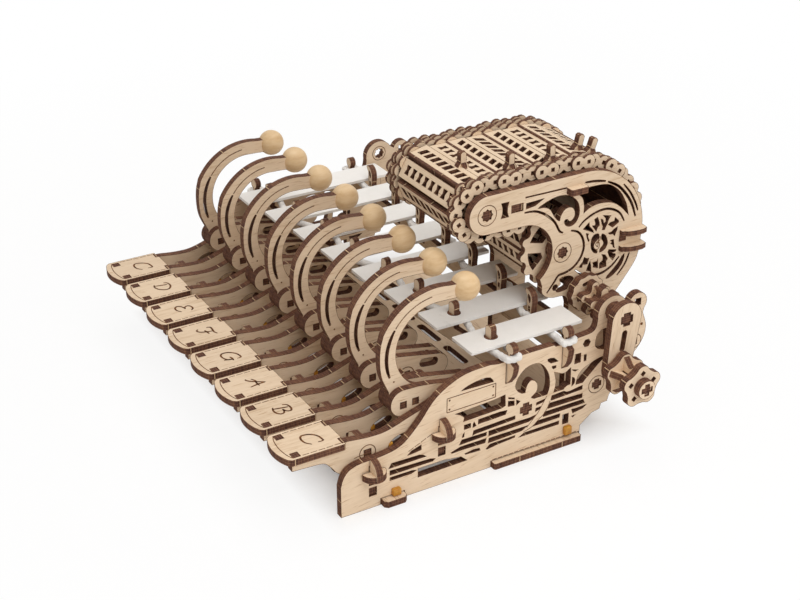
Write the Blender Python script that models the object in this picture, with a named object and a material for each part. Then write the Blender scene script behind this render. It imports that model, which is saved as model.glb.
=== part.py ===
"""Eight-note mechanical celesta, built from laser-cut birch plywood plates.

Working axes, in millimetres: X runs along the keyboard from the low note to the high
note, Y runs from the keys to the back, Z is the height above the table. X = 0 is the
left edge of the first key pad and Y = 0 the rear edge of the pads. Every object is
placed in metres about the middle of the base, see ORIGIN.
"""

import math

import bmesh
import bpy
from mathutils import Matrix, Vector

MM = 0.001

# Plywood and fits
PLY = 3.6                      # plates that stand across X
THIN_PLY = 3.0                 # plates that lie flat or stand across Y
GAP = 0.3                      # clearance between touching pieces
OVERLAP = 0.15                 # depth of a glued joint inside one body
AXLE = 3.2                     # side of the square axles
AXLE_HOLE = 2.7                # radius of the round holes that turn on a square axle
FLAT_ANGLE = 0.001             # radians: faces that differ less are one flat face

# Keyboard
NOTES = ("c_low", "d", "e", "f", "g", "a", "b", "c_high")
SEMITONES = (0, 2, 4, 5, 7, 9, 11, 12)
KEY_PITCH = 27.0
PAD_WIDTH = 22.2
PAD_TOP = 35.0
PAD_CORNER_Y = -26.2
PAD_BULGE = 3.0                # how far the front of a pad curves out
KEY_PIVOT = (11.1, 25.9)       # Y, Z of the key axle
KEY_INSIDE = 6.0               # half the space between the two sides of a key

# Hammers
HAMMER_PIVOT = (48.8, 37.4)
HAMMER_BOSS = 6.5
ARM_BACK = (50.5, 61.5, 30.4)  # Y, Z and radius of the outer curve of the arm
ARM_INNER = (50.0, 64.5, 20.3)
CHEEK_NOSE = (31.5, 42.2, 6.5)
CHEEK_TAIL = (65.0, 38.0, 5.8)
BALL = (65.3, 87.9)
BALL_RADIUS = 6.55

# Sound bars and the rails that carry them
BAR_WIDTH = 16.5
BAR_TOP = 59.0
BAR_THICKNESS = 1.5
BAR_HIGH_LENGTH = 59.4
NODE_SHARE = 0.224             # a free bar is still this share of its length from each end
CORD_RADIUS = 1.75
FRONT_RAIL = (80.6, 0.085)     # Y at the outer face of the right panel, and slope along X
REAR_RAIL = (110.7, -0.045)
BAR_SETBACK = 1.6              # bars sit this far in front of the middle of the rails
RAIL_TOP = 52.4
RAIL_BOTTOM = 45.0             # clear of the hammer tails
FRONT_NOTCH_FLOOR = 42.0
REAR_NOTCH_FLOOR = 40.9
HOOK_OFFSET = 11.4             # a rear hook stands this far right of its bar's middle
PEG_REACH = 3.0                # a cord runs straight this far each side of an upright
LOOP_POWER = 0.6               # a cord turns round an end post in a squared loop

# Side panels
PANEL_INNER = 210.3            # X of the inner face of the right panel
PANEL_OUTER = PANEL_INNER + PLY
KEYBOARD_WIDTH = 7 * KEY_PITCH + PAD_WIDTH
LEFT_INNER = KEYBOARD_WIDTH - PANEL_INNER
LEFT_OUTER = LEFT_INNER - PLY
TAB_REACH = 4.0                # tabs stand this far out of a side panel
NECK = (2.9, 1.7)              # neck of a rail's end post: inside the tab's end, and half its width
FRONT_TIE_Y = 11.2
MIDDLE_TIE_Y = 46.0
HALF_MOON = 6.2                # radius of the half-moon pegs
BAR_DROP = 2.4                 # the bar of a tie stays this far below its pegs, under the keys
FRONT_PEG_Z = 17.8
MIDDLE_PEG_Z = 26.9
CRANK_AXIS = (135.9, 63.4)
LOBE = (130.0, 25.6, 10.2)
TOWER = (135.9, 62.4, 8.2)
LUG = (150.2, 63.2, 5.2)
FRONT_FOOT = (15.3, 26.7)
REAR_FOOT = (70.3, 119.7)
REAR_BASE_END = 151.0
SLOT_HEIGHT = 2.2              # of the rows of slots in a side panel

# Programme cassette
CASSETTE_OUTER = 188.6         # X of the outer face of its right plate
CASSETTE_WIDTH = 66.0
ROLLER = (83.4, 112.2)
DRUM = (125.1, 84.1)
CASSETTE_NOSE = 9.3
CASSETTE_BACK = (136.1, 87.2, 34.3)
ARCH = (103.1, 86.2, 16.2)
BELT_ROLLER = 12.0             # radius of the middle of the belt round the roller
BELT_BACK = (134.5, 88.2, 36.0)
BELT_DRUM = 14.0
BELT_THICKNESS = 3.6
RAIL_WAVE = 1.1                # height of the scallops on the rails of the belt
RAIL_HEIGHT = 2.6
LINK_LENGTH = 12.0
BELT_PINS = ((164.0, 85.5), (176.0, 103.0), (177.4, 124.0), (171.0, 138.0))

# Crank
ARM_OUTER = 224.4              # X of the outer face of the crank arm
HANDLE_AXIS = (133.2, 38.2)
HANDLE_END = 247.2
PINION_TEETH = 8
GEAR_TEETH = 14

LEFT_END = LEFT_OUTER - TAB_REACH
FRONT_END = PAD_CORNER_Y - PAD_BULGE
BACK_END = BELT_BACK[0] + BELT_BACK[2] + RAIL_HEIGHT + RAIL_WAVE
ORIGIN = Vector(((LEFT_OUTER - GAP - HALF_MOON + HANDLE_END) / 2, (FRONT_END + BACK_END) / 2, 0.0))

COLOURS = {
    "birch": ((0.76, 0.60, 0.42, 1.0), 0.62, 0.0),
    "birch_dark": ((0.55, 0.38, 0.24, 1.0), 0.66, 0.0),
    "bead": ((0.80, 0.58, 0.32, 1.0), 0.40, 0.0),
    "bar": ((0.86, 0.86, 0.84, 1.0), 0.32, 0.9),
    "cord": ((0.90, 0.90, 0.88, 1.0), 0.95, 0.0),
}


def clear_scene():
    """Remove every object that the file opened with."""
    for thing in list(bpy.data.objects):
        bpy.data.objects.remove(thing, do_unlink=True)


def material(name):
    """Return the Principled material of one finish, making it the first time."""
    found = bpy.data.materials.get(name)
    if found:
        return found
    colour, roughness, metallic = COLOURS[name]
    made = bpy.data.materials.new(name)
    made.use_nodes = True
    shader = made.node_tree.nodes["Principled BSDF"]
    shader.inputs["Base Color"].default_value = colour
    shader.inputs["Roughness"].default_value = roughness
    shader.inputs["Metallic"].default_value = metallic
    return made


# Outlines


def arc(y, z, radius, start, end, count):
    """Points along an arc, from start to end in degrees."""
    points = []
    for step in range(count + 1):
        angle = math.radians(start + (end - start) * step / count)
        points.append((y + radius * math.cos(angle), z + radius * math.sin(angle)))
    return points


def circle(y, z, radius, count):
    """A closed ring of points."""
    return arc(y, z, radius, 0.0, 360.0, count)[:-1]


def box(low_u, low_v, high_u, high_v):
    """A rectangle as a closed ring of points."""
    return [(low_u, low_v), (high_u, low_v), (high_u, high_v), (low_u, high_v)]


def slot(start, end, width, count=4):
    """A straight slot with round ends between two centres."""
    along = math.degrees(math.atan2(end[1] - start[1], end[0] - start[0]))
    near = arc(start[0], start[1], width / 2, along + 90, along + 270, count)
    far = arc(end[0], end[1], width / 2, along - 90, along + 90, count)
    return near + far


def curve_through(points, steps):
    """Points on a smooth open curve that passes through every given point."""
    padded = [points[0]] + list(points) + [points[-1]]
    size = len(points[0])
    smooth = []
    for index in range(1, len(padded) - 2):
        before, here, there, after = padded[index - 1:index + 3]
        for step in range(steps):
            t = step / steps
            smooth.append(tuple(
                0.5 * (2 * here[k] + (there[k] - before[k]) * t
                       + (2 * before[k] - 5 * here[k] + 4 * there[k] - after[k]) * t ** 2
                       + (3 * here[k] - before[k] - 3 * there[k] + after[k]) * t ** 3)
                for k in range(size)))
    smooth.append(tuple(points[-1]))
    return smooth


def gear_outline(y, z, radius, depth, teeth, turn):
    """A gear with round teeth, four points to a tooth."""
    points = []
    for step in range(4 * teeth):
        angle = 2 * math.pi * (step + 0.5) / (4 * teeth)
        reach = radius + depth * math.cos(teeth * angle)
        points.append((y + reach * math.cos(angle + turn), z + reach * math.sin(angle + turn)))
    return points


# Solids

PLANES = {
    "X": Matrix(((0, 0, 1, 0), (1, 0, 0, 0), (0, 1, 0, 0), (0, 0, 0, 1))),
    "Y": Matrix(((1, 0, 0, 0), (0, 0, -1, 0), (0, 1, 0, 0), (0, 0, 0, 1))),
    "Z": Matrix.Identity(4),
}


def mesh_of(source):
    """Return the evaluated mesh of an object, welded and with flat faces merged, and remove it."""
    bpy.context.view_layer.update()
    graph = bpy.context.evaluated_depsgraph_get()
    mesh = bpy.data.meshes.new_from_object(source.evaluated_get(graph))
    mesh.transform(source.matrix_world)
    work = bmesh.new()
    work.from_mesh(mesh)
    bmesh.ops.remove_doubles(work, verts=work.verts, dist=0.000001)
    bmesh.ops.dissolve_limit(work, angle_limit=FLAT_ANGLE, verts=work.verts, edges=work.edges)
    work.to_mesh(mesh)
    work.free()
    bpy.data.objects.remove(source, do_unlink=True)
    return mesh


def loose_object(name, mesh):
    """Put a mesh in the scene so that modifiers can use it."""
    made = bpy.data.objects.new(name, mesh)
    bpy.context.scene.collection.objects.link(made)
    return made


def plate(loops, thickness, plane, middle):
    """Extrude closed loops of millimetre points: the first is the outline, the rest holes.

    plane is the axis that the plate stands across, and middle its place along that axis.
    """
    curve = bpy.data.curves.new("outline", "CURVE")
    curve.dimensions = "2D"
    curve.fill_mode = "BOTH"
    curve.extrude = thickness / 2 * MM
    for loop in loops:
        spline = curve.splines.new("POLY")
        spline.points.add(len(loop) - 1)
        for point, (u, v) in zip(spline.points, loop):
            point.co = (u * MM, v * MM, 0.0, 1.0)
        spline.use_cyclic_u = True
    source = loose_object("outline", curve)
    place = {"X": (middle, 0, 0), "Y": (0, middle, 0), "Z": (0, 0, middle)}[plane]
    source.matrix_world = Matrix.Translation(Vector(place) * MM) @ PLANES[plane]
    return loose_object("plate", mesh_of(source))


def block(low, high):
    """A rectangular block between two millimetre corners."""
    bpy.ops.mesh.primitive_cube_add(size=1.0)
    cube = bpy.context.active_object
    cube.scale = [(b - a) * MM for a, b in zip(low, high)]
    cube.location = [(a + b) / 2 * MM for a, b in zip(low, high)]
    return loose_object("block", mesh_of(cube))


def disc(y, z, radius, low_x, high_x, count=16):
    """A round disc or shaft along X."""
    return plate([circle(y, z, radius, count)], high_x - low_x, "X", (low_x + high_x) / 2)


def combine(first, others, operation):
    """Boolean several solids with the first one and return the result."""
    for other in others:
        step = first.modifiers.new(operation.lower(), "BOOLEAN")
        step.operation = operation
        step.solver = "EXACT"
        step.object = other
    mesh = mesh_of(first)
    for other in others:
        bpy.data.objects.remove(other, do_unlink=True)
    return loose_object("solid", mesh)


def turned(thing, degrees, about):
    """Turn a loose solid about an upright line through a millimetre point."""
    pivot = Vector(about) * MM
    turn = Matrix.Rotation(math.radians(degrees), 4, "Z")
    thing.data.transform(Matrix.Translation(pivot) @ turn @ Matrix.Translation(-pivot))
    return thing


def finish(thing, name, finish_name, pivot=(0.0, 0.0, 0.0)):
    """Name a solid, give it its material and put its origin on its pivot."""
    pivot = Vector(pivot)
    mesh = thing.data
    mesh.transform(Matrix.Translation(-pivot * MM))
    mesh.name = name
    mesh.materials.clear()
    mesh.materials.append(material(finish_name))
    mesh.shade_smooth()
    mesh.set_sharp_from_angle(angle=math.radians(30))
    thing.name = name
    thing.location = (pivot - ORIGIN) * MM
    for collection in list(thing.users_collection):
        collection.objects.unlink(thing)
    bpy.data.collections["celesta"].objects.link(thing)
    return thing


def repeat(first, name, shift):
    """Another object on the same mesh, shifted along X by some millimetres."""
    made = first.copy()
    made.name = name
    made.location.x += shift * MM
    bpy.data.collections["celesta"].objects.link(made)
    return made


# Keys


def key_middle(index):
    """X of the middle of one key, hammer and bar."""
    return PAD_WIDTH / 2 + KEY_PITCH * index


def build_pads():
    """The eight key pads, with notches behind for the sides of the key."""
    half = PAD_WIDTH / 2
    chord = half
    radius = (chord ** 2 + PAD_BULGE ** 2) / (2 * PAD_BULGE)
    spread = math.degrees(math.asin(chord / radius))
    front = arc(0.0, PAD_CORNER_Y - PAD_BULGE + radius, radius, 270 - spread, 270 + spread, 6)
    outer = KEY_INSIDE + PLY + GAP
    inner = KEY_INSIDE - GAP
    right = [(half, 0.0), (outer, 0.0), (outer, -1.2), (inner, -1.2), (inner, 0.6)]
    left = [(-u, v) for u, v in reversed(right)]
    outline = [(u + key_middle(0), v) for u, v in front + right + left]
    pad = plate([outline], THIN_PLY, "Z", PAD_TOP - THIN_PLY / 2)
    pivot = (key_middle(0), KEY_PIVOT[0], KEY_PIVOT[1])
    first = finish(pad, "pad_" + NOTES[0], "birch", pivot)
    for index in range(1, len(NOTES)):
        repeat(first, "pad_" + NOTES[index], KEY_PITCH * index)


def key_side_outline():
    """Side view of a key, from the front under the pad to the tail under the hammer."""
    top = [(45.6, 42.4), (39.1, 39.4), (27.9, 35.9), (17.3, 34.0), (8.1, 34.1), (-0.9, 34.8)]
    under_pad = [(-0.9, PAD_TOP - THIN_PLY - GAP), (-24.4, PAD_TOP - THIN_PLY - GAP)]
    belly = curve_through(
        [(-24.4, 28.3), (-9.7, 27.0), (-2.8, 20.4), (6.0, 17.2), (20.0, 17.6), (42.0, 25.4)], 2)
    return top + under_pad + belly + [(45.6, 29.0)]


def build_levers():
    """The eight keys: two sides, a cross plate behind the pad and one under the hammer."""
    middle = key_middle(0)
    holes = [circle(*KEY_PIVOT, AXLE_HOLE, 8), slot((25.2, 25.7), (34.4, 28.4), 4.4, 3)]
    sides = []
    for side in (-1, 1):
        place = middle + side * (KEY_INSIDE + PLY / 2)
        sides.append(plate([key_side_outline()] + holes, PLY, "X", place))
    reach = KEY_INSIDE + OVERLAP * 2
    front = block((middle - reach, 1.6, 20.0), (middle + reach, 4.6, 36.4))
    tail = block((middle - reach, 38.6, 24.4), (middle + reach, 41.6, 30.4))
    lever = combine(sides[0], [sides[1], front, tail], "UNION")
    pivot = (middle, KEY_PIVOT[0], KEY_PIVOT[1])
    first = finish(lever, "key_" + NOTES[0], "birch", pivot)
    for index in range(1, len(NOTES)):
        repeat(first, "key_" + NOTES[index], KEY_PITCH * index)


# Hammers


def arm_outline():
    """The curved hammer arm, with its foot between the cheeks."""
    back = arc(*ARM_BACK, 78.4, 213.5, 10)
    nose = arc(CHEEK_NOSE[0], CHEEK_NOSE[1], CHEEK_NOSE[2] - OVERLAP, 175, 270, 3)
    pivot = arc(*HAMMER_PIVOT, HAMMER_BOSS - OVERLAP, 255, 390, 4)
    inside = arc(*ARM_INNER, 252, 84, 9)
    return back + nose + pivot + inside + [(56.6, 85.6)]


def cheek_outline():
    """A cheek plate: a round nose, the pivot boss and a tail."""
    nose = arc(*CHEEK_NOSE, 90, 275, 6)
    pivot = arc(*HAMMER_PIVOT, HAMMER_BOSS, 255, 280, 2)
    tail = arc(*CHEEK_TAIL, 270, 450, 5)
    return nose + pivot + tail + [(52.0, 46.4), (44.2, 47.9)]


def build_hammers():
    """The eight hammers: a curved arm glued between two cheeks."""
    middle = key_middle(0)
    arm_hole = circle(*HAMMER_PIVOT, AXLE_HOLE, 8)
    cheek_hole = circle(*HAMMER_PIVOT, AXLE_HOLE + OVERLAP, 8)
    arm = plate([arm_outline(), arm_hole], PLY, "X", middle)
    window = slot((57.6, 41.0), (63.4, 40.4), 4.0, 3)
    pegs = [box(29.6, 39.8, 33.0, 43.2), box(35.8, 39.9, 39.2, 43.3)]
    cheeks = []
    for side in (-1, 1):
        place = middle + side * PLY
        cheek = [cheek_outline(), cheek_hole, window]
        if side > 0:
            cheek += pegs
        cheeks.append(plate(cheek, PLY + OVERLAP, "X", place))
    hammer = combine(arm, cheeks, "UNION")
    pivot = (middle, HAMMER_PIVOT[0], HAMMER_PIVOT[1])
    first = finish(hammer, "hammer_" + NOTES[0], "birch", pivot)
    for index in range(1, len(NOTES)):
        repeat(first, "hammer_" + NOTES[index], KEY_PITCH * index)


def build_balls():
    """The wooden ball on the end of each hammer arm, with a socket for the arm."""
    middle = key_middle(0)
    bpy.ops.mesh.primitive_uv_sphere_add(segments=12, ring_count=7, radius=BALL_RADIUS * MM)
    ball = bpy.context.active_object
    ball.location = (middle * MM, BALL[0] * MM, BALL[1] * MM)
    solid = loose_object("ball", mesh_of(ball))
    arm_end = ARM_BACK[0] + ARM_BACK[2] * math.cos(math.radians(78.4))
    reach = PLY / 2 + GAP
    socket = block((middle - reach, 50.0, 80.0), (middle + reach, arm_end + 0.5 + GAP, 96.0))
    solid = combine(solid, [socket], "DIFFERENCE")
    pivot = (middle, HAMMER_PIVOT[0], HAMMER_PIVOT[1])
    first = finish(solid, "ball_" + NOTES[0], "bead", pivot)
    for index in range(1, len(NOTES)):
        repeat(first, "ball_" + NOTES[index], KEY_PITCH * index)


# Bars, rails and cords


def rail_y(rail, x):
    """Y of the middle of a slanted rail at some X."""
    return rail[0] + rail[1] * (x - PANEL_OUTER)


def bar_span(index):
    """Front and rear Y of a bar: its length follows the pitch of its note."""
    semitones_down = SEMITONES[-1] - SEMITONES[index]
    length = BAR_HIGH_LENGTH * 2 ** (semitones_down / 24)
    x = key_middle(index)
    middle = (rail_y(FRONT_RAIL, x) + rail_y(REAR_RAIL, x)) / 2 - BAR_SETBACK
    return middle - length / 2, middle + length / 2


def build_bars():
    """The eight sound bars, each with a hole for its front peg."""
    for index, note in enumerate(NOTES):
        x = key_middle(index)
        front, rear = bar_span(index)
        outline = box(x - BAR_WIDTH / 2, front, x + BAR_WIDTH / 2, rear)
        peg_y = rail_y(FRONT_RAIL, x)
        hole = circle(x, peg_y, 3.3, 10)
        bar = plate([outline, hole], BAR_THICKNESS, "Z", BAR_TOP - BAR_THICKNESS / 2)
        finish(bar, "bar_" + note, "bar", (x, peg_y, BAR_TOP))


def rail_outline(rail, floor, upright, places):
    """Front view of a rail: tabs in the side panels, end posts and an upright at each note.

    The rail is drawn along its own length and turned into place afterwards.
    """
    stretch = math.sqrt(1 + rail[1] ** 2)
    start = PANEL_OUTER - (PANEL_OUTER - LEFT_END) * stretch
    end = PANEL_OUTER + (TAB_REACH + 0.6) * stretch
    inner_left = PANEL_OUTER - (PANEL_OUTER - LEFT_INNER) * stretch
    inner_right = PANEL_OUTER - (PANEL_OUTER - PANEL_INNER) * stretch
    floor += GAP
    bottom = [(start + 4.2, floor), (inner_left + 1.0, floor), (inner_left + 4.0, RAIL_BOTTOM),
              (inner_right - 4.0, RAIL_BOTTOM), (inner_right - 1.0, floor), (end - 4.2, floor)]
    right = [(end - 1.2, floor + 7.0), (end, 52.0), (end - 1.8, 53.0), (end - 1.8, 58.2),
             (end - 0.6, 59.4), (end - 2.0, 61.6), (end - 4.6, 61.6), (end - 6.2, 59.4),
             (end - 5.0, 58.2), (end - 5.0, RAIL_TOP)]
    left = [(start + end - u, v) for u, v in reversed(right)]
    points = bottom + right
    for x in reversed(places):
        place = PANEL_OUTER - (PANEL_OUTER - x) * stretch
        points += [(place + u, v) for u, v in upright]
    return points + left


def build_rails():
    """The two slanted rails: the front one has a peg, the rear one a hook for each bar."""
    peg = [(2.1, RAIL_TOP), (2.1, 63.4), (0.9, 65.0), (-0.9, 65.0), (-2.1, 63.4), (-2.1, RAIL_TOP)]
    hook = [(2.2, RAIL_TOP), (2.4, 62.0), (1.6, 65.6), (-0.4, 67.0), (-2.6, 66.2), (-2.4, 64.4),
            (-1.0, 63.8), (-0.9, 60.0), (-1.0, RAIL_TOP)]
    for name, rail, floor, upright, places in (
            ("front_bar_rail", FRONT_RAIL, FRONT_NOTCH_FLOOR, peg, peg_places()),
            ("rear_bar_rail", REAR_RAIL, REAR_NOTCH_FLOOR, hook, hook_places())):
        solid = plate([rail_outline(rail, floor, upright, places)], THIN_PLY, "Y", rail[0])
        angle = math.degrees(math.atan(rail[1]))
        turned(solid, angle, (PANEL_OUTER, rail[0], 0.0))
        finish(solid, name, "birch")


def peg_places():
    """X of the pegs of the front rail, one under each bar."""
    return [key_middle(index) for index in range(len(NOTES))]


def hook_places():
    """X of the hooks of the rear rail, one between each bar and the next."""
    return [x + HOOK_OFFSET for x in peg_places()[:-1]]


def cord_route(rail, uprights):
    """Where a bar cord runs: past each upright on alternate sides, with a turn at each end."""
    aside = THIN_PLY / 2 + CORD_RADIUS + 0.5
    height = BAR_TOP - BAR_THICKNESS - GAP - CORD_RADIUS
    ends = []
    for place, outward in ((PANEL_OUTER + TAB_REACH - NECK[0], 1), (LEFT_END + NECK[0], -1)):
        loop = []
        for turn in (90, 45, 0, -45, -90):
            angle = math.radians(turn)
            out = (NECK[1] + CORD_RADIUS + GAP) * math.cos(angle) ** LOOP_POWER
            side = aside * math.copysign(abs(math.sin(angle)) ** LOOP_POWER, turn)
            loop.append((place + outward * out, side))
        ends.append(loop)
    right, left = ends
    inside = [(PANEL_OUTER - 9.0, aside)] + right
    side = -1
    for upright in reversed(uprights):
        inside += [(upright + PEG_REACH, side * aside), (upright - PEG_REACH, side * aside)]
        side = -side
    inside += [(u, side * v) for u, v in reversed(left)] + [(LEFT_INNER + 6.0, side * aside)]
    return [(x, rail_y(rail, x) + offset, height) for x, offset in inside]


def build_cords():
    """The two soft cords that carry the bars, each one tube along its whole route."""
    for name, rail, uprights in (("front_bar_cord", FRONT_RAIL, peg_places()),
                                 ("rear_bar_cord", REAR_RAIL, hook_places())):
        route = curve_through(cord_route(rail, uprights), 2)
        curve = bpy.data.curves.new(name, "CURVE")
        curve.dimensions = "3D"
        curve.bevel_depth = CORD_RADIUS * MM
        curve.bevel_resolution = 1
        curve.use_fill_caps = True
        spline = curve.splines.new("POLY")
        spline.points.add(len(route) - 1)
        for point, place in zip(spline.points, route):
            point.co = (place[0] * MM, place[1] * MM, place[2] * MM, 1.0)
        finish(loose_object(name, mesh_of(loose_object(name, curve))), name, "cord")


# Frame


def panel_outline(front_notch_y, rear_notch_y):
    """Side view of a panel, anticlockwise from the front of its foot."""
    half = THIN_PLY / 2 + GAP
    feet = []
    for low, high in (FRONT_FOOT, REAR_FOOT):
        feet += [(low - GAP, 0.0), (low - GAP, THIN_PLY + GAP),
                 (high + GAP, THIN_PLY + GAP), (high + GAP, 0.0)]
    heel = [(121.2, 0.0), (121.6, 3.6), (126.6, 6.9), (133.4, 14.4)]
    lobe = arc(*LOBE, -50, 20, 4)
    back = curve_through([(141.6, 33.0), (149.0, 36.4), (154.6, 43.0), (156.0, 50.0), (153.2, 57.6)], 2)
    lug = arc(*LUG, -40, 160, 6)
    tower = arc(*TOWER, 30, 190, 8)
    shoulder = [(127.8, 57.6), (126.4, 54.6), (121.0, 54.2), (116.6, 53.0)]
    shoulder = [point for point in shoulder if point[0] > rear_notch_y + half + 1.0]
    rear_notch = [(rear_notch_y + half, 52.4), (rear_notch_y + half, REAR_NOTCH_FLOOR),
                  (rear_notch_y - half, REAR_NOTCH_FLOOR), (rear_notch_y - half, 53.2)]
    front_notch = [(front_notch_y + half, 53.6), (front_notch_y + half, FRONT_NOTCH_FLOOR),
                   (front_notch_y - half, FRONT_NOTCH_FLOOR), (front_notch_y - half, 53.2)]
    slope_end = min(70.4, front_notch_y - half - 3.0)
    cheek = [(slope_end, 53.2), (min(61.3, slope_end - 6.0), 52.4), (min(52.2, slope_end - 12.0), 49.9),
             (45.0, 46.6), (39.7, 41.0), (32.6, 31.6), (25.4, 26.8), (16.6, 26.0), (4.4, 26.0),
             (-0.8, 24.8), (-3.2, 20.4), (-3.5, 14.4)]
    return ([(-3.5, 0.0)] + feet + heel + lobe + back + lug + tower + shoulder + rear_notch
            + front_notch + curve_through(cheek, 2))


def panel_holes(front_notch_y, rear_notch_y):
    """Windows of a side panel, without those that a rail notch would run into."""
    holes = [
        box(34.0, 7.4, 60.8, 10.2),
        circle(CRANK_AXIS[0], CRANK_AXIS[1], AXLE_HOLE, 12),
        circle(123.0, 49.5, 2.2, 6),
        box(116.4, 40.2, 119.6, 44.8),
        [(128.6, 48.2), (133.6, 44.0), (136.8, 55.2), (132.8, 55.8)],
        [(56.0, 44.6), (66.0, 44.9), (71.4, 45.2), (67.8, 47.4), (62.0, 46.8)],
    ]
    for middle, peg_z in ((FRONT_TIE_Y, FRONT_PEG_Z), (MIDDLE_TIE_Y, MIDDLE_PEG_Z)):
        half = THIN_PLY / 2 + GAP
        holes.append(box(middle - half, peg_z - 5.9, middle + half, peg_z + 4.0))
        holes.append(box(middle - half, peg_z - 11.6, middle + half, peg_z - 7.4))
    slot_rows = ((64.3, 80.0, 26.3), (104.0, 118.4, 26.3), (61.6, 84.4, 22.0), (101.2, 121.3, 22.0),
                 (70.3, 95.3, 18.2), (99.0, 121.0, 18.2), (50.5, 69.0, 15.0), (70.3, 91.0, 15.0),
                 (94.7, 109.4, 15.0), (57.8, 84.4, 11.5), (86.6, 109.4, 11.5), (19.2, 37.6, 17.4),
                 (19.7, 41.0, 13.9), (19.7, 32.0, 10.6))
    for low, high, height in slot_rows:
        holes.append(box(low, height, high, height + SLOT_HEIGHT))
    oval = [(94.0 + 9.0 * math.cos(math.radians(a)), 39.0 + 7.6 * math.sin(math.radians(a)))
            for a in range(200, -50, -25)]
    tongue = arc(93.2, 34.4, 3.6, -30, 200, 6)
    holes.append(oval + tongue)
    kept = []
    for hole in holes:
        low, high = min(y for y, _ in hole), max(y for y, _ in hole)
        deep = max(z for _, z in hole) < REAR_NOTCH_FLOOR - 1.0
        if deep or all(high < notch - 3.5 or low > notch + 3.5 for notch in (front_notch_y, rear_notch_y)):
            kept.append(hole)
    return kept


def build_panels():
    """The two side panels, which carry both rails, the ties and the crank."""
    for name, outer, inner in (("right_panel", PANEL_OUTER, PANEL_INNER),
                               ("left_panel", LEFT_OUTER, LEFT_INNER)):
        middle = (outer + inner) / 2
        notches = (rail_y(FRONT_RAIL, middle), rail_y(REAR_RAIL, middle))
        solid = plate([panel_outline(*notches)] + panel_holes(*notches), PLY, "X", middle)
        finish(solid, name, "birch")


def tie_front_view(peg_z, bottom):
    """Front view of a tie: a cross bar, tabs through both panels and half-moon ends."""
    shoulder_right = PANEL_INNER - GAP
    shoulder_left = LEFT_INNER + GAP
    moon_start = PANEL_OUTER + GAP
    moon = arc(moon_start, peg_z, HALF_MOON, -90, 90, 6)
    bar_top = peg_z - BAR_DROP
    tab_end = PANEL_OUTER - 1.0
    right = ([(shoulder_right, bottom), (shoulder_right, peg_z - 11.3), (tab_end, peg_z - 11.1),
              (tab_end, peg_z - 7.9), (shoulder_right, peg_z - 7.7), (shoulder_right, peg_z - 5.5),
              (moon_start, peg_z - 5.5)] + moon
             + [(moon_start, peg_z + 3.6), (shoulder_right + GAP * 2, peg_z + 3.6),
                (shoulder_right + GAP * 2, bar_top + 0.4), (shoulder_right, bar_top)])
    total = shoulder_right + shoulder_left
    left = [(total - u, v) for u, v in reversed(right)]
    return right + left


def build_tie(name, middle_y, peg_z, bottom, finger_top, pivot):
    """A cross tie with fingers between the keys that hold an axle."""
    solid = plate([tie_front_view(peg_z, bottom)], THIN_PLY, "Y", middle_y)
    pieces = []
    for index in range(1, len(NOTES)):
        x = KEY_PITCH * index - (KEY_PITCH - PAD_WIDTH) / 2
        low, high = min(middle_y, pivot[0]) - 5.0, max(middle_y, pivot[0]) + 5.0
        finger = [(low, bottom + 1.0), (high, bottom + 1.0), (high, finger_top - 3.0),
                  (high - 3.0, finger_top), (low + 3.0, finger_top), (low, finger_top - 3.0)]
        half = AXLE / 2 + GAP
        hole = box(pivot[0] - half, pivot[1] - half, pivot[0] + half, pivot[1] + half)
        pieces.append(plate([finger, hole], THIN_PLY, "X", x))
    for face, first_angle in ((PANEL_OUTER + GAP * 2, -90), (LEFT_OUTER - GAP * 2, 90)):
        moon = arc(face, middle_y, HALF_MOON - GAP * 2, first_angle, first_angle + 180, 6)
        pieces.append(plate([moon], THIN_PLY, "Z", peg_z))
    solid = combine(solid, pieces, "UNION")
    finish(solid, name, "birch")


def build_axle(name, pivot):
    """A square axle along the keyboard, held by the fingers of a tie."""
    half = AXLE / 2
    ends = (key_middle(0) - KEY_INSIDE - PLY, key_middle(7) + KEY_INSIDE + PLY)
    outline = box(pivot[0] - half, pivot[1] - half, pivot[0] + half, pivot[1] + half)
    solid = plate([outline], ends[1] - ends[0] - 0.4, "X", (ends[0] + ends[1]) / 2)
    finish(solid, name, "birch_dark", (0.0, pivot[0], pivot[1]))


def build_bases():
    """The two base plates, whose tabs reach out under the side panels as feet."""
    right = PANEL_OUTER + TAB_REACH
    front = box(LEFT_END, FRONT_FOOT[0], right, FRONT_FOOT[1])
    solid = plate([front], THIN_PLY, "Z", THIN_PLY / 2)
    finish(solid, "front_base", "birch")
    inner_left = LEFT_INNER + GAP
    inner_right = PANEL_INNER - GAP
    rear = [(LEFT_END, REAR_FOOT[0]), (right, REAR_FOOT[0]), (right, REAR_FOOT[1]),
            (inner_right, REAR_FOOT[1]), (inner_right, REAR_BASE_END), (inner_left, REAR_BASE_END),
            (inner_left, REAR_FOOT[1]), (LEFT_END, REAR_FOOT[1])]
    slots = []
    half = PLY / 2 + GAP
    for x in (CASSETTE_OUTER - PLY / 2, CASSETTE_OUTER - CASSETTE_WIDTH + PLY / 2):
        slots.append(box(x - half, 132.0 - GAP, x + half, 146.0 + GAP))
    solid = plate([rear] + slots, THIN_PLY, "Z", THIN_PLY / 2)
    finish(solid, "rear_base", "birch")


# Programme cassette


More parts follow.
